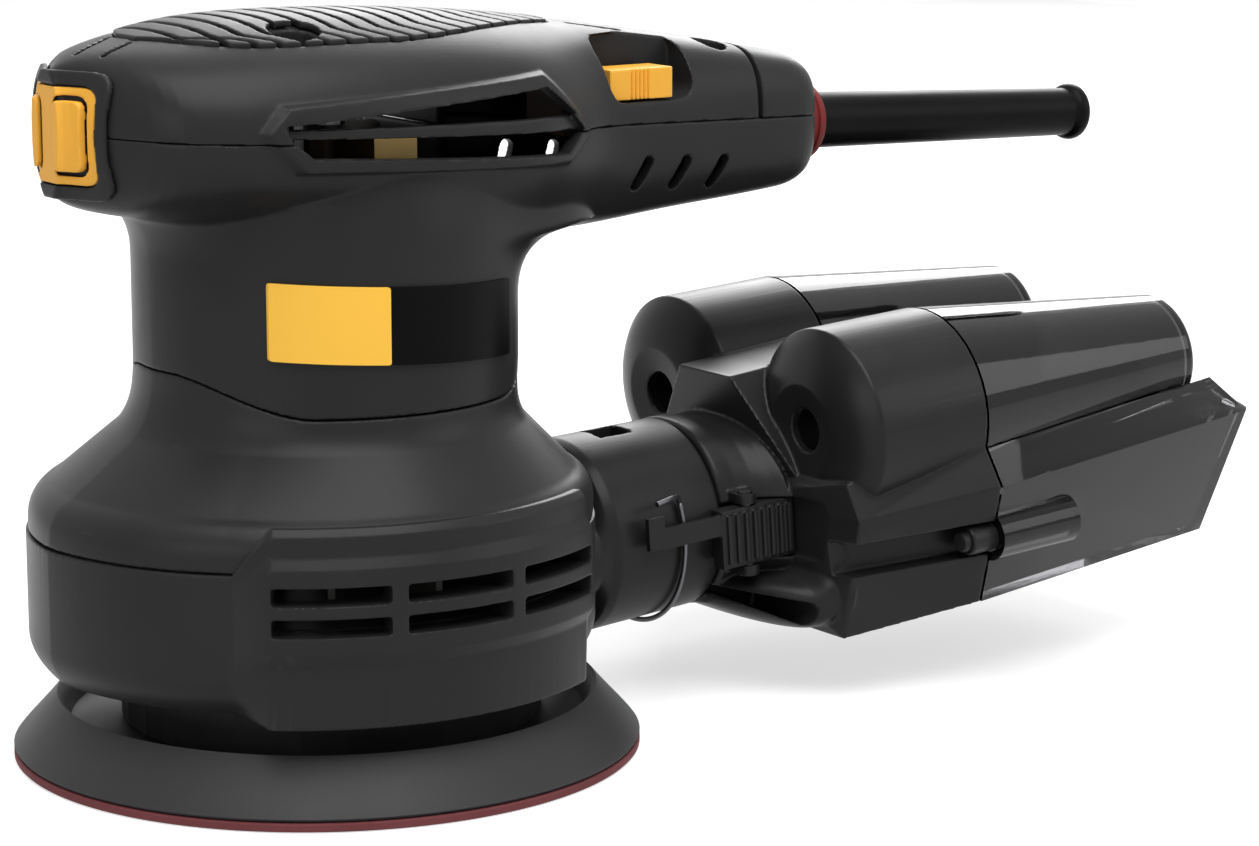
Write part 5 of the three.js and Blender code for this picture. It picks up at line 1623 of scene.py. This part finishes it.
def duct_form(rows: Sequence[tuple[float, float, float, float]], steps: int = 96,
              square: float = 2.0) -> Solid:
    """Make a closed tube along the port's axis.

    Args:
        rows: place, half width, middle height and half height of each section.
        steps: points round it.
        square: 2 for ellipses, more for squarer sections.

    Returns:
        The tube as one solid.
    """
    c, s = oval(turns(steps), square)
    return loft([np.stack([np.full(steps, u), half * c, middle + rise * s], axis=1)
                 for u, half, middle, rise in rows])


@dataclass(frozen=True)
class Port:
    """Round dust port, drawn along its own axis and tilted up to the rear."""

    tilt: float = 3.9
    height: float = 31.0
    flange: float = 20.5
    end: float = 85.5
    bore: float = 16.0
    root: float = 53.2

    def turn(self) -> Matrix:
        """Return the turn from the port's frame to the row's frame."""
        return Matrix.Rotation(-math.radians(self.tilt), 4, "Y")

    def tube(self) -> Solid:
        """Make the outside of the port.

        Returns:
            The tube without its passage.
        """
        root, low = self.root, 29.8
        rows = [(root - 7, 20, low, 12.4), (root + 2.3, 20, low, 12.4)]
        rows += [(u, self.flange - drawn, self.height, self.flange - drawn)
                 for u, drawn in ((root + 4.6, 0.6), (root + 6.6, 0), (self.end - 0.6, 0.4), (self.end, 0.9))]
        return duct_form(rows).moved(self.turn())

    def duct(self) -> Solid:
        """Return the passage through the port."""
        rows = [(self.root - 12, 14, 26, 6.5), (self.root + 3, 14, 26, 6.5),
                (62, self.bore, self.height, self.bore), (self.end + 1, self.bore, self.height, self.bore)]
        return duct_form(rows).moved(self.turn())

    def notch(self) -> Solid:
        """Return the square window on top of the port."""
        return block((67, -4, self.height + 10), (75, 4, self.height + 30)).moved(self.turn())


@dataclass(frozen=True)
class CollectorShape:
    """Sizes of the collector's head and bin, along the port's axis."""

    seam: float = 135.8
    wall: float = 2.0
    cone_radius: float = 20.7
    cone_spread: float = 26.0
    cone_height: float = 49.5
    cone_front: float = 102.6
    cone_shoulder: float = 108.2
    cone_nose: float = 10.0
    cap_hole: float = 4.6
    cone_rear: float = 201.7
    cone_tip: float = 13.3
    front: float = 98.5
    full: float = 103.5
    taper_half: float = 0.86
    taper_drop: float = 2.6
    half: Triple = (42.0, 50.5, 46.0)
    level: Triple = (9.0, 35.5, 43.0)
    # Half width, height and place of the slanted rear wall's corners.
    end: tuple[Triple, ...] = (
        (36.5, 10.5, 205.5), (48.5, 39.0, 209.0), (38.0, 45.0, 208.0))
    end_edge: float = 1.8
    catch_height: float = 24.0
    catch_radius: float = 3.1
    catch_out: float = 45.0
    channel_depth: float = 35.0

    def corners(self, inset: float, share: float = 1.0, taper: float = 0.0) -> np.ndarray:
        """Return the six corners of a section as points across and up.

        Args:
            inset: distance from the outer surface.
            share: size about the widest level.
            taper: 1 at the front of the body and 0 at the seam.

        Returns:
            6 by 2 array.
        """
        (bottom, widest, shoulder), (low, middle, high) = self.half, self.level
        right = np.array([(bottom - inset, low + inset), (widest - inset, middle),
                          (shoulder - inset, high - inset)])
        right[:, 0] *= share * lerp(1, self.taper_half, taper)
        right[:, 1] = middle + (right[:, 1] - middle) * share - self.taper_drop * taper
        return np.concatenate([right, (right * (-1, 1))[::-1]])

    def body(self, inset: float, rear: float) -> Solid:
        """Return the six-sided body of the dust head.

        Args:
            inset: distance from the outer surface.
            rear: where it ends.

        Returns:
            The body as one solid.
        """
        nose = lerp(self.front, self.full, 0.45)
        rows = [(self.front + inset, inset + 1, 0.42, 1), (nose + inset, inset, 0.78, 1),
                (self.full + inset / 2, inset, 1, 1), (rear, inset, 1, 0)]
        return loft([np.column_stack([np.full(6, u), self.corners(drawn, share, taper)])
                     for u, drawn, share, taper in rows])

    def bin(self, inset: float) -> Solid:
        """Return the form of the bin, from its open front to its slanted rear wall.

        Args:
            inset: distance from the outer surface.

        Returns:
            The form as one solid.
        """
        front = self.seam + FIT / 2 - (1 if inset > 0 else 0)
        start = np.column_stack([np.full(6, front), self.corners(inset)])

        def rear(drawn: float) -> np.ndarray:
            """Return the corners of the rear wall, drawn in."""
            right = np.array([(at - inset, half - drawn, level + sign * drawn)
                              for (half, level, at), sign in zip(self.end, (1, 0, -1))])
            return np.concatenate([right, (right * (1, -1, 1))[::-1]])

        def divided(corners: np.ndarray) -> np.ndarray:
            """Return the corners with seven points between each two."""
            after, share = np.roll(corners, -1, axis=0), np.arange(8)[:, None] / 8
            return np.concatenate([lerp(a[None], b[None], share) for a, b in zip(corners, after)])

        edge = 1 - self.end_edge / (self.end[0][2] - front)
        rows = [divided(lerp(start, rear(inset), share)) for share in np.linspace(0, edge, 14)]
        return loft([*rows, divided(rear(inset + self.end_edge))])

    def cone(self, side: int, grow: float, start: float, end: float) -> Solid:
        """Return a length of one cyclone's outside.

        Args:
            side: 1 for the far one and -1 for the near one.
            grow: margin round it.
            start: where it starts.
            end: where it ends.

        Returns:
            The cone.
        """
        shares = [max(0.0, (u - self.seam) / (self.cone_rear - self.seam)) for u in (start, end)]
        first, last = (lerp(self.cone_radius, self.cone_tip, share) + grow for share in shares)
        shape = turned([(0, start), (first, start), (last, end), (0, end)], 144, "X")
        return shape.shifted(y=side * self.cone_spread, z=self.cone_height)

    def catch_rod(self, radius: float, start: float, end: float, side: int) -> Solid:
        """Return a cylinder on the line of one side's catch."""
        return rod(radius, start, end, 64, "X").shifted(y=side * self.catch_out, z=self.catch_height)


@dataclass
class CollectorUnit:
    """Dust head, clear bin with its two cyclones, catches and latch."""

    bench: Bench
    port: Port
    shape: CollectorShape = field(default_factory=CollectorShape)
    latch_pivot: float = 90.0
    latch_out: float = 22.6
    thumb_low: float = 23.2
    thumb_high: float = 35.6
    thumb_from: float = 82.5
    thumb_to: float = 101.0
    pin_radius: float = 1.3
    lug_radius: float = 2.3
    ribs: int = 8

    @property
    def pin_line(self) -> float:
        """Return how far to the near side the latch's pin stands."""
        return -self.latch_out + 0.3

    def build(self) -> None:
        """Make every piece of the collector."""
        self._dust_head()
        self._bin()
        for side in (-1, 1):
            self._cyclone(side)
            self._catch(side)
        self._latch()
        self._wire()

    def _chin(self) -> Solid:
        """Make the hull under the collar: it swells to the full width of the body.

        Returns:
            The hull as one solid.
        """
        s = self.shape
        rows = []
        for share in np.linspace(0, 1, 16):
            swell = math.sin(share * math.pi / 2)
            low, top = lerp(12.4, s.level[0] - s.taper_drop, swell), 20 + 4 * smooth(share, 0.7, 1.0)
            place, half = lerp(self.port.end + 0.5, s.full - 0.5, share), s.half[0] * s.taper_half
            rows.append((place, lerp(15, half, swell), (top + low) / 2, (top - low) / 2))
        rows.append((s.full + 1, (s.half[0] + s.half[1]) / 2 * s.taper_half,
                     (s.level[0] + s.level[1]) / 2 - s.taper_drop, (s.level[1] - s.level[0]) / 2))
        return duct_form(rows, square=3.2)

    def _cap(self, side: int, inset: float, rear: float) -> Solid:
        """Return the blunt cap over the front of one cyclone: a bulged cone with a flat nose.

        Args:
            side: 1 for the far one and -1 for the near one.
            inset: distance from the outer surface.
            rear: where it ends.

        Returns:
            The cap.
        """
        s = self.shape
        bulge = [(lerp(s.cone_nose, s.cone_radius, t) + 1.1 * math.sin(math.pi * t),
                  lerp(s.cone_front, s.cone_shoulder, t**1.25)) for t in np.linspace(0, 1, 12)]
        profile = [(0.0, s.cone_front + 0.9 + inset), (s.cap_hole, s.cone_front + 0.9 + inset)]
        profile += [(r - inset * 0.8, u + inset * 0.8) for r, u in bulge[:-1]]
        profile += [(s.cone_radius - inset, s.cone_shoulder + inset * 0.3), (s.cone_radius - inset, rear),
                    (0.0, rear)]
        return turned(profile, 144, "X").shifted(y=side * s.cone_spread, z=s.cone_height)

    def _channel(self, side: int, grow: float) -> Solid:
        """Return a catch's channel, or grown, the channel's lining.

        Args:
            side: 1 for the far one and -1 for the near one.
            grow: thickness of the lining.

        Returns:
            The cutter or the lining.
        """
        s, rear = self.shape, self.shape.seam - FIT / 2
        half = s.catch_radius + 2 * FIT
        start = s.front + (half if not grow else -grow)
        back = s.catch_out - s.catch_radius - FIT
        outline = [(start, s.channel_depth - grow), (rear + (0 if grow else 1), back - grow),
                   (rear + (0 if grow else 1), 101), (start, 101)]
        shape = prism(outline, s.catch_height - half - grow, s.catch_height + half + grow)
        if not grow:
            bore = rod(half, s.channel_depth, 101, 48, "Y").shifted(x=s.front + half, z=s.catch_height)
            shape = shape.join(bore)
        return shape if side > 0 else shape.mirrored()

    def _pocket(self, grow: float) -> Solid:
        """Return the room behind the latch's thumb block."""
        return block((self.thumb_from - grow, -50.5, self.thumb_low - FIT - grow),
                     (self.thumb_to + FIT + grow, 4.1 - self.latch_out + grow, self.thumb_high + FIT + grow))

    def _pin(self, grow: float) -> Solid:
        """Return the latch's pin, grown by a margin."""
        pin = rod(self.pin_radius + grow, self.thumb_low - FIT - WALL, self.thumb_high + FIT + WALL, 32)
        return pin.shifted(self.latch_pivot, self.pin_line)

    def _scoop(self, side: int) -> Solid:
        """Cut the slanted air scoop in one side of the chin: it opens out to the rear.

        Args:
            side: 1 for the far one and -1 for the near one.

        Returns:
            The cutter.
        """
        outline = rounded([(85.0, 16.2), (97.8, 9.2), (99.0, 14.6), (85.4, 17.6)], 1.5)
        slot = prism(outline, 12, 46, Plane.SIDE)
        return slot if side > 0 else slot.mirrored()

    def _collar(self) -> Solid:
        """Make the collar: as round as the port at the front, wide and flat where it meets the body.

        Returns:
            The collar as one solid.
        """
        start, mid = self.port.end + FIT, self.port.height
        rows = [(start, 19.4, mid, 19.4), (start + 0.7, 20.1, mid, 20.0), (90, 20.5, mid, 19.9),
                (94, 21.9, mid - 0.4, 19.6), (97.3, 24.2, mid - 0.7, 19.4), (99.3, 26.2, mid - 0.8, 19.4),
                (100.0, 25.6, mid - 0.8, 18.8), (103.5, 22.0, mid - 0.8, 16.0)]
        return duct_form(rows, 128, 2.2)

    def _web(self, rear: float) -> Solid:
        """Return the saddle between the caps: a flat top whose flanks spread down to the collar."""
        return loft([np.array([(front, 9, up), (base, 24.5, 40), (base, -24.5, 40), (front, -9, up)])
                     for front, base, up in ((97.0, 101.4, 59.5), (rear, rear, 61.0))])

    def _lugs(self) -> list[Solid]:
        """Make the two rounded ears that hold the latch's pin.

        Returns:
            Ear and root of each.
        """
        out = []
        for low in (self.thumb_low - FIT - WALL, self.thumb_high + FIT):
            ear = rod(self.lug_radius, low, low + WALL, 32).shifted(self.latch_pivot, self.pin_line)
            root = block((self.latch_pivot - self.lug_radius, self.pin_line, low),
                         (self.latch_pivot + self.lug_radius, -10, low + WALL))
            out += [ear, root]
        return out

    def _dust_head(self) -> None:
        """Make the dark head of the collector."""
        s, port, sides, rear = self.shape, self.port, (1, -1), self.shape.seam - FIT / 2
        outer, chin = s.body(0, rear), self._chin()
        spigot = rod(port.bore - FIT - 0.1, 63, port.end + 2, 96, "X").shifted(z=port.height)
        caps = [self._cap(side, 0, rear) for side in sides]
        body = outer.join(*caps, self._collar(), spigot, self._web(rear), chin)
        body = body.cut(s.body(s.wall, rear + 1), *[self._cap(side, s.wall, rear + 1) for side in sides])
        hole = rod(s.cap_hole, s.cone_front - 1, s.cone_shoulder + 3, 48, "X").shifted(z=s.cone_height)
        holes = [hole.shifted(y=side * s.cone_spread) for side in (-1, 1)]
        backing = [self._channel(side, s.wall).common(outer) for side in (-1, 1)]
        body = body.cut(*holes).join(*backing, self._pocket(s.wall).common(outer.join(chin)))
        body = body.cut(self._channel(1, 0), self._channel(-1, 0), self._pocket(0)).join(*self._lugs())
        throat = rod(port.bore - FIT - 2.2, 62, s.full + 4, 96, "X").shifted(z=port.height)
        body = body.cut(self._pin(FIT), throat, self._scoop(1), self._scoop(-1))
        self.bench.piece("collector_head", moulded(body, 0.34).moved(port.turn()), COLLECTOR_BLACK,
                         "collector", "dust_head")

    def _bin(self) -> None:
        """Make the clear bin, with the sockets of the catches and the troughs of the cyclones."""
        s, front, sides = self.shape, self.shape.seam + FIT / 2, (-1, 1)
        reach = (front - 2, s.end[1][2] + 4)
        outer = s.bin(0).cut(*[s.cone(side, FIT, *reach) for side in sides])
        inner = s.bin(s.wall).cut(*[s.cone(side, FIT + s.wall, *reach) for side in sides])
        sockets = [s.catch_rod(s.catch_radius + FIT + s.wall, front, s.seam + 21.2, side) for side in sides]
        bores = [s.catch_rod(s.catch_radius + FIT, front - 1, s.seam + 19.2, side) for side in sides]
        shape = outer.cut(inner).join(*sockets).cut(*bores).moved(self.port.turn())
        self.bench.piece("clear_bin", shape, CLEAR_PLASTIC, "bin", "dust_bin", crease=25)

    def _cyclone(self, side: int) -> None:
        """Make one clear cyclone with its rounded end.

        Args:
            side: 1 for the far one and -1 for the near one.
        """
        s, front = self.shape, self.shape.seam + FIT / 2
        slope = (s.cone_tip - s.cone_radius) / (s.cone_rear - s.seam)

        def line(inset: float, start: float, end: float) -> list[Point]:
            """Return the profile of its skin from the open front to the tip."""
            radius = s.cone_radius + slope * (end - s.seam) - inset
            bend = [(radius - 2.2 * (1 - math.cos(t)), end - 2.2 + 2.2 * math.sin(t))
                    for t in np.linspace(0, math.pi / 2, 8)]
            return [(s.cone_radius + slope * (start - s.seam) - inset, start), *bend, (0.0, end)]

        outer, inner = line(0.0, front, s.cone_rear), line(1.6, front, s.cone_rear - 1.6)
        hollow = turned([(0.0, front - 1), (inner[0][0], front - 1), *inner], 144, "X")
        shape = turned([(0.0, front), *outer], 144, "X").cut(hollow)
        shape = shape.shifted(y=side * s.cone_spread, z=s.cone_height).moved(self.port.turn())
        name = "left" if side > 0 else "right"
        self.bench.piece(f"clear_cyclone_{name}", shape, CLEAR_PLASTIC, "bin", f"cyclone_tube_{name}",
                         crease=30)

    def _catch(self, side: int) -> None:
        """Make one sprung pin that locks the bin.

        Args:
            side: 1 for the far one and -1 for the near one.
        """
        s = self.shape
        start, end, radius = s.seam - 6.0, s.seam + 6, s.catch_radius
        profile = [(0, start - 1.6), (radius - 1.2, start - 1.6), (radius - 0.9, start - 1.3),
                   (radius - 0.9, start), (radius - 0.3, start), (radius, start + 0.4), (radius, end - 0.6),
                   (radius - 0.6, end), (0, end)]
        shape = turned(profile, 64, "X").shifted(y=side * s.catch_out, z=s.catch_height)
        name = "left" if side > 0 else "right"
        self.bench.piece(f"bin_pin_{name}", shape.moved(self.port.turn()), COLLECTOR_BLACK, f"catch_{name}",
                         f"bin_catch_{name}", crease=35)

    def _latch(self) -> None:
        """Make the latch: ribbed thumb block, arm and cross bar."""
        back = -self.latch_out + 0.2
        face = back - 1.4
        low, high, start, end = self.thumb_low, self.thumb_high, self.thumb_from, self.thumb_to
        body = block((start, face - 0.4, low), (end, face + 3.4, high))
        arm = block((67.5, face, high - 5.2), (start + 1, back, high - 0.8))
        bar = block((64.5, face, self.port.height - 0.4), (68.5, back, self.port.height + 6.5))
        pitch = (end - start - 2) / (self.ribs - 0.5)
        ribs = [block((start + 1 + i * pitch, face - 1.3, low + 1),
                      (start + 1 + (i + 0.5) * pitch, face, high - 1)) for i in range(self.ribs)]
        shape = body.join(arm, bar, *ribs).cut(self._pin(FIT))
        self.bench.piece("latch_body", moulded(shape, 0.25).moved(self.port.turn()), COLLECTOR_BLACK, "latch",
                         "latch_lever")

    def _wire(self) -> None:
        """Make the wire bail: it hooks on the arm, runs back along it and loops under the port."""
        radius, thick, place, rise = self.port.flange + FIT + 0.5, 0.55, 75.0, self.port.height
        hoop = [(place, radius * math.cos(t), rise + radius * math.sin(t))
                for t in np.radians(np.linspace(-201, -84, 60))]
        lead = [(67.4, -22.9, rise + 9.0), (69.5, -22.6, rise + 9.2), (71.8, -21.9, rise + 9.3),
                (73.8, -20.9, rise + 9.0)]
        path = np.array(lead + hoop)
        along = np.gradient(path, axis=0)
        along /= np.linalg.norm(along, axis=1)[:, None]
        outward = path * (0, 1, 1) - (0, 0, rise)
        outward -= (outward * along).sum(1)[:, None] * along
        outward /= np.linalg.norm(outward, axis=1)[:, None]
        across = np.cross(along, outward)
        angle = turns(16)[:, None]
        rows = [spot + thick * (np.cos(angle) * out + np.sin(angle) * side)
                for spot, out, side in zip(path, outward, across)]
        self.bench.piece("wire_bail", loft(rows).moved(self.port.turn()), DARK_STEEL, "housing", "latch_wire")


# ---------------------------------------------------------------------------- pad and cord entry


@dataclass
class PadUnit:
    """Backing pad and abrasive disc."""

    bench: Bench
    radius: float = 62.5
    disc: float = 1.7
    rim: Point = (54.3, 12.3)
    hole_radius: float = 5.0
    hole_circle: float = 32.5
    holes: int = 8

    def build(self) -> None:
        """Make both pieces."""
        low, (rim, top) = self.disc + FIT, self.rim
        flank = bezier((self.radius, low + 0.5), (self.radius - 1.5, low + 2.6), (rim + 3.2, top - 4.4),
                       (rim, top - 0.5), 20)
        profile = [(7.5, low), (self.radius - 0.4, low), *flank, (rim - 0.5, top), (rim - 1.0, top - 0.3),
                   (rim - 2.4, top - 2.5), (rim - 3.2, 7.0), (14.5, 7.0), (13.2, top - 0.4), (12.8, top),
                   (2.8, top), (2.8, 6.0), (7.5, 6.0)]
        pad = turned(profile, 288).cut(*self._dust_holes(0, 20))
        self.bench.piece("rubber_pad", pad, PAD_RUBBER, "pad", "backing_pad", crease=35)
        edge = [(0, 0), (self.radius - 0.3, 0), (self.radius, 0.3), (self.radius, self.disc - 0.3),
                (self.radius - 0.3, self.disc), (0, self.disc)]
        disc = turned(edge, 288).cut(*self._dust_holes(-1, 3))
        self.bench.piece("grit_disc", disc, ABRASIVE, "pad", "abrasive_disc", crease=35)

    def _dust_holes(self, low: float, high: float) -> list[Solid]:
        """Return the cutters of the dust holes."""
        hole, out = rod(self.hole_radius, low, high, 40), self.hole_circle
        return [hole.shifted(out * math.cos(t), out * math.sin(t)) for t in turns(self.holes)]


@dataclass
class CordEntry:
    """Grommet and sleeve at the end of the handle."""

    bench: Bench
    body: Body = field(default_factory=Body)
    drop: float = 2.4
    wall_end: float = 113.2
    sleeve_end: float = 195.2
    sleeve_bore: float = 3.4
    sleeve_tip: float = 5.25

    def build(self) -> None:
        """Make both pieces."""
        line = cord_line(self.body, self.drop)
        self.bench.piece("cord_ring", self._ring().moved(line), GROMMET_RED, "housing", "cord_grommet")
        self.bench.piece("cord_tube", self._sleeve().moved(line), SLEEVE_RUBBER, "housing", "cord_sleeve",
                         crease=35)

    def _ring(self) -> Solid:
        """Return the grommet: a flange against the handle, a groove and a collar."""
        profile = [(5.8, FIT), (8.4, FIT), (8.8, 0.9), (8.7, 2.4), (8.0, 2.8), (8.0, 3.5), (8.4, 3.8),
                   (8.2, 5.2), (7.5, 5.9), (6.3, 5.9), (5.8, 5.5)]
        return turned([(radius, self.wall_end + out) for radius, out in profile], 96, "X")

    def _sleeve(self) -> Solid:
        """Make the sleeve: a flange inside the handle, a slight taper and a bead at its tip.

        Returns:
            The sleeve round the X axis.
        """
        end, tip, bore, thin = self.wall_end, self.sleeve_end, self.sleeve_bore, self.sleeve_tip
        profile = [(bore, end - 10), (6.8, end - 10), (6.8, end - 7.5), (5.5, end - 7.5), (5.5, end + 6.1),
                   (6.0, end + 6.5)]
        profile += [(lerp(6.0, thin, t), lerp(end + 6.5, tip - 3.6, t)) for t in (0.25, 0.5, 0.75, 1.0)]
        profile += [(thin + 1.0 * math.sin(t), tip - 1.7 - 1.7 * math.cos(t))
                    for t in np.linspace(0.25, math.pi - 0.2, 10)]
        profile += [(4.4, tip), (3.6, tip - 0.5), (bore, tip - 1.5)]
        return turned(profile, 96, "X")


# ---------------------------------------------------------------------------- studio


@dataclass
class Studio:
    """Floor, lamps, world and camera."""

    camera_at: Triple = (-363.1, -629.0, 206.7)
    camera_azimuth: float = 34.77
    camera_pitch: float = 11.08
    lens: float = 106.57
    floor_half: float = 1.35
    floor_glow: float = 0.62
    world_light: float = 0.16
    aim: Triple = (0.06, 0.0, 0.08)
    # Name, place in metres, side in metres and watts.
    lamps: tuple[tuple[str, Triple, float, float], ...] = (
        ("overhead_lamp", (-0.1, -0.4, 1.15), 1.1, 19.5),
        ("side_lamp", (-1.2, -0.5, 0.45), 0.6, 2.5),
        ("fill_lamp", (1.0, -0.9, 0.6), 0.7, 3.0),
        ("rim_lamp", (1.0, 1.1, 0.85), 0.9, 16.0),
    )

    def build(self) -> None:
        """Make the floor, the lamps, the world and the camera."""
        self._floor()
        for lamp in self.lamps:
            self._lamp(*lamp)
        self._world()
        self._camera()
        bpy.context.scene.view_settings.view_transform = "Standard"
        log.info("studio ready")

    def _floor(self) -> None:
        """Pale floor that shows white to the camera and keeps the object's shadow."""
        half = self.floor_half
        mesh = bpy.data.meshes.new("floor")
        corners = [(x, y, -0.0002) for x, y in rectangle(2 * half, 2 * half)]
        mesh.from_pydata(corners, [], [(0, 1, 2, 3)])
        floor = bpy.data.objects.new("floor", mesh)
        bpy.context.scene.collection.objects.link(floor)
        made = bpy.data.materials.new("floor_white")
        made.use_nodes = True
        shader = made.node_tree.nodes["Principled BSDF"]
        shader.inputs["Base Color"].default_value = (0.55, 0.55, 0.55, 1)
        shader.inputs["Roughness"].default_value = 0.9
        shader.inputs["Emission Color"].default_value = (1, 1, 1, 1)
        glow = math_node(made.node_tree, "MULTIPLY", self._seen(made.node_tree), self.floor_glow)
        made.node_tree.links.new(glow, shader.inputs["Emission Strength"])
        mesh.materials.append(made)

    def _lamp(self, name: str, place: Triple, size: float, power: float) -> None:
        """Add one soft square lamp that looks at the sander.

        Args:
            name: lamp name.
            place: position in metres.
            size: side in metres.
            power: watts.
        """
        light = bpy.data.lights.new(name, "AREA")
        light.size = size
        light.energy = power
        lamp = bpy.data.objects.new(name, light)
        lamp.location = place
        aim = Vector(self.aim) - Vector(place)
        lamp.rotation_euler = aim.to_track_quat("-Z", "Y").to_euler()
        bpy.context.scene.collection.objects.link(lamp)

    @staticmethod
    def _seen(tree: Tree) -> Socket:
        """Tell camera, glossy and transmission rays from the rest.

        Args:
            tree: the tree that asks.

        Returns:
            The socket, 1 for those rays and 0 for the rest.
        """
        path = tree.nodes.new("ShaderNodeLightPath")
        seen = path.outputs["Is Camera Ray"]
        for ray in ("Is Glossy Ray", "Is Transmission Ray"):
            seen = math_node(tree, "MAXIMUM", seen, path.outputs[ray])
        return seen

    def _world(self) -> None:
        """Even white surround, brighter to the eye than to the object."""
        world = bpy.data.worlds.new("studio_white")
        bpy.context.scene.world = world
        world.use_nodes = True
        tree = world.node_tree
        shown = tree.nodes["Background"]
        shown.inputs["Color"].default_value = (1, 1, 1, 1)
        level = tree.nodes.new("ShaderNodeMapRange")
        level.inputs["To Min"].default_value = self.world_light
        level.inputs["To Max"].default_value = 1.0
        tree.links.new(self._seen(tree), level.inputs["Value"])
        tree.links.new(level.outputs["Result"], shown.inputs["Strength"])

    def _camera(self) -> None:
        """Set the camera at the place it sees the sander from."""
        data = bpy.data.cameras.new("camera")
        data.lens = self.lens
        data.sensor_width = 36.0
        data.clip_start, data.clip_end = 0.05, 20.0
        camera = bpy.data.objects.new("camera", data)
        camera.location = Vector(self.camera_at) * MM
        turn = Matrix.Rotation(-math.radians(self.camera_azimuth), 4, "Z")
        tilt = Matrix.Rotation(math.radians(90.0 - self.camera_pitch), 4, "X")
        camera.rotation_euler = (turn @ tilt).to_euler()
        bpy.context.scene.collection.objects.link(camera)
        bpy.context.scene.camera = camera


def main() -> None:
    """Build every sub-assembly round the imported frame."""
    logging.basicConfig(level=logging.INFO, format="%(name)s: %(message)s")
    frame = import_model()
    Studio().build()
    effects = Effects()
    dress_frame(frame["nodes"], effects)
    bench, port = Bench(effects), Port()
    units = (HeadUnit(bench), SkirtUnit(bench, port), CollectorUnit(bench, port), PadUnit(bench),
             CordEntry(bench))
    for unit in units:
        unit.build()
    log.info("boxes written")


if __name__ == "__main__":
    main()
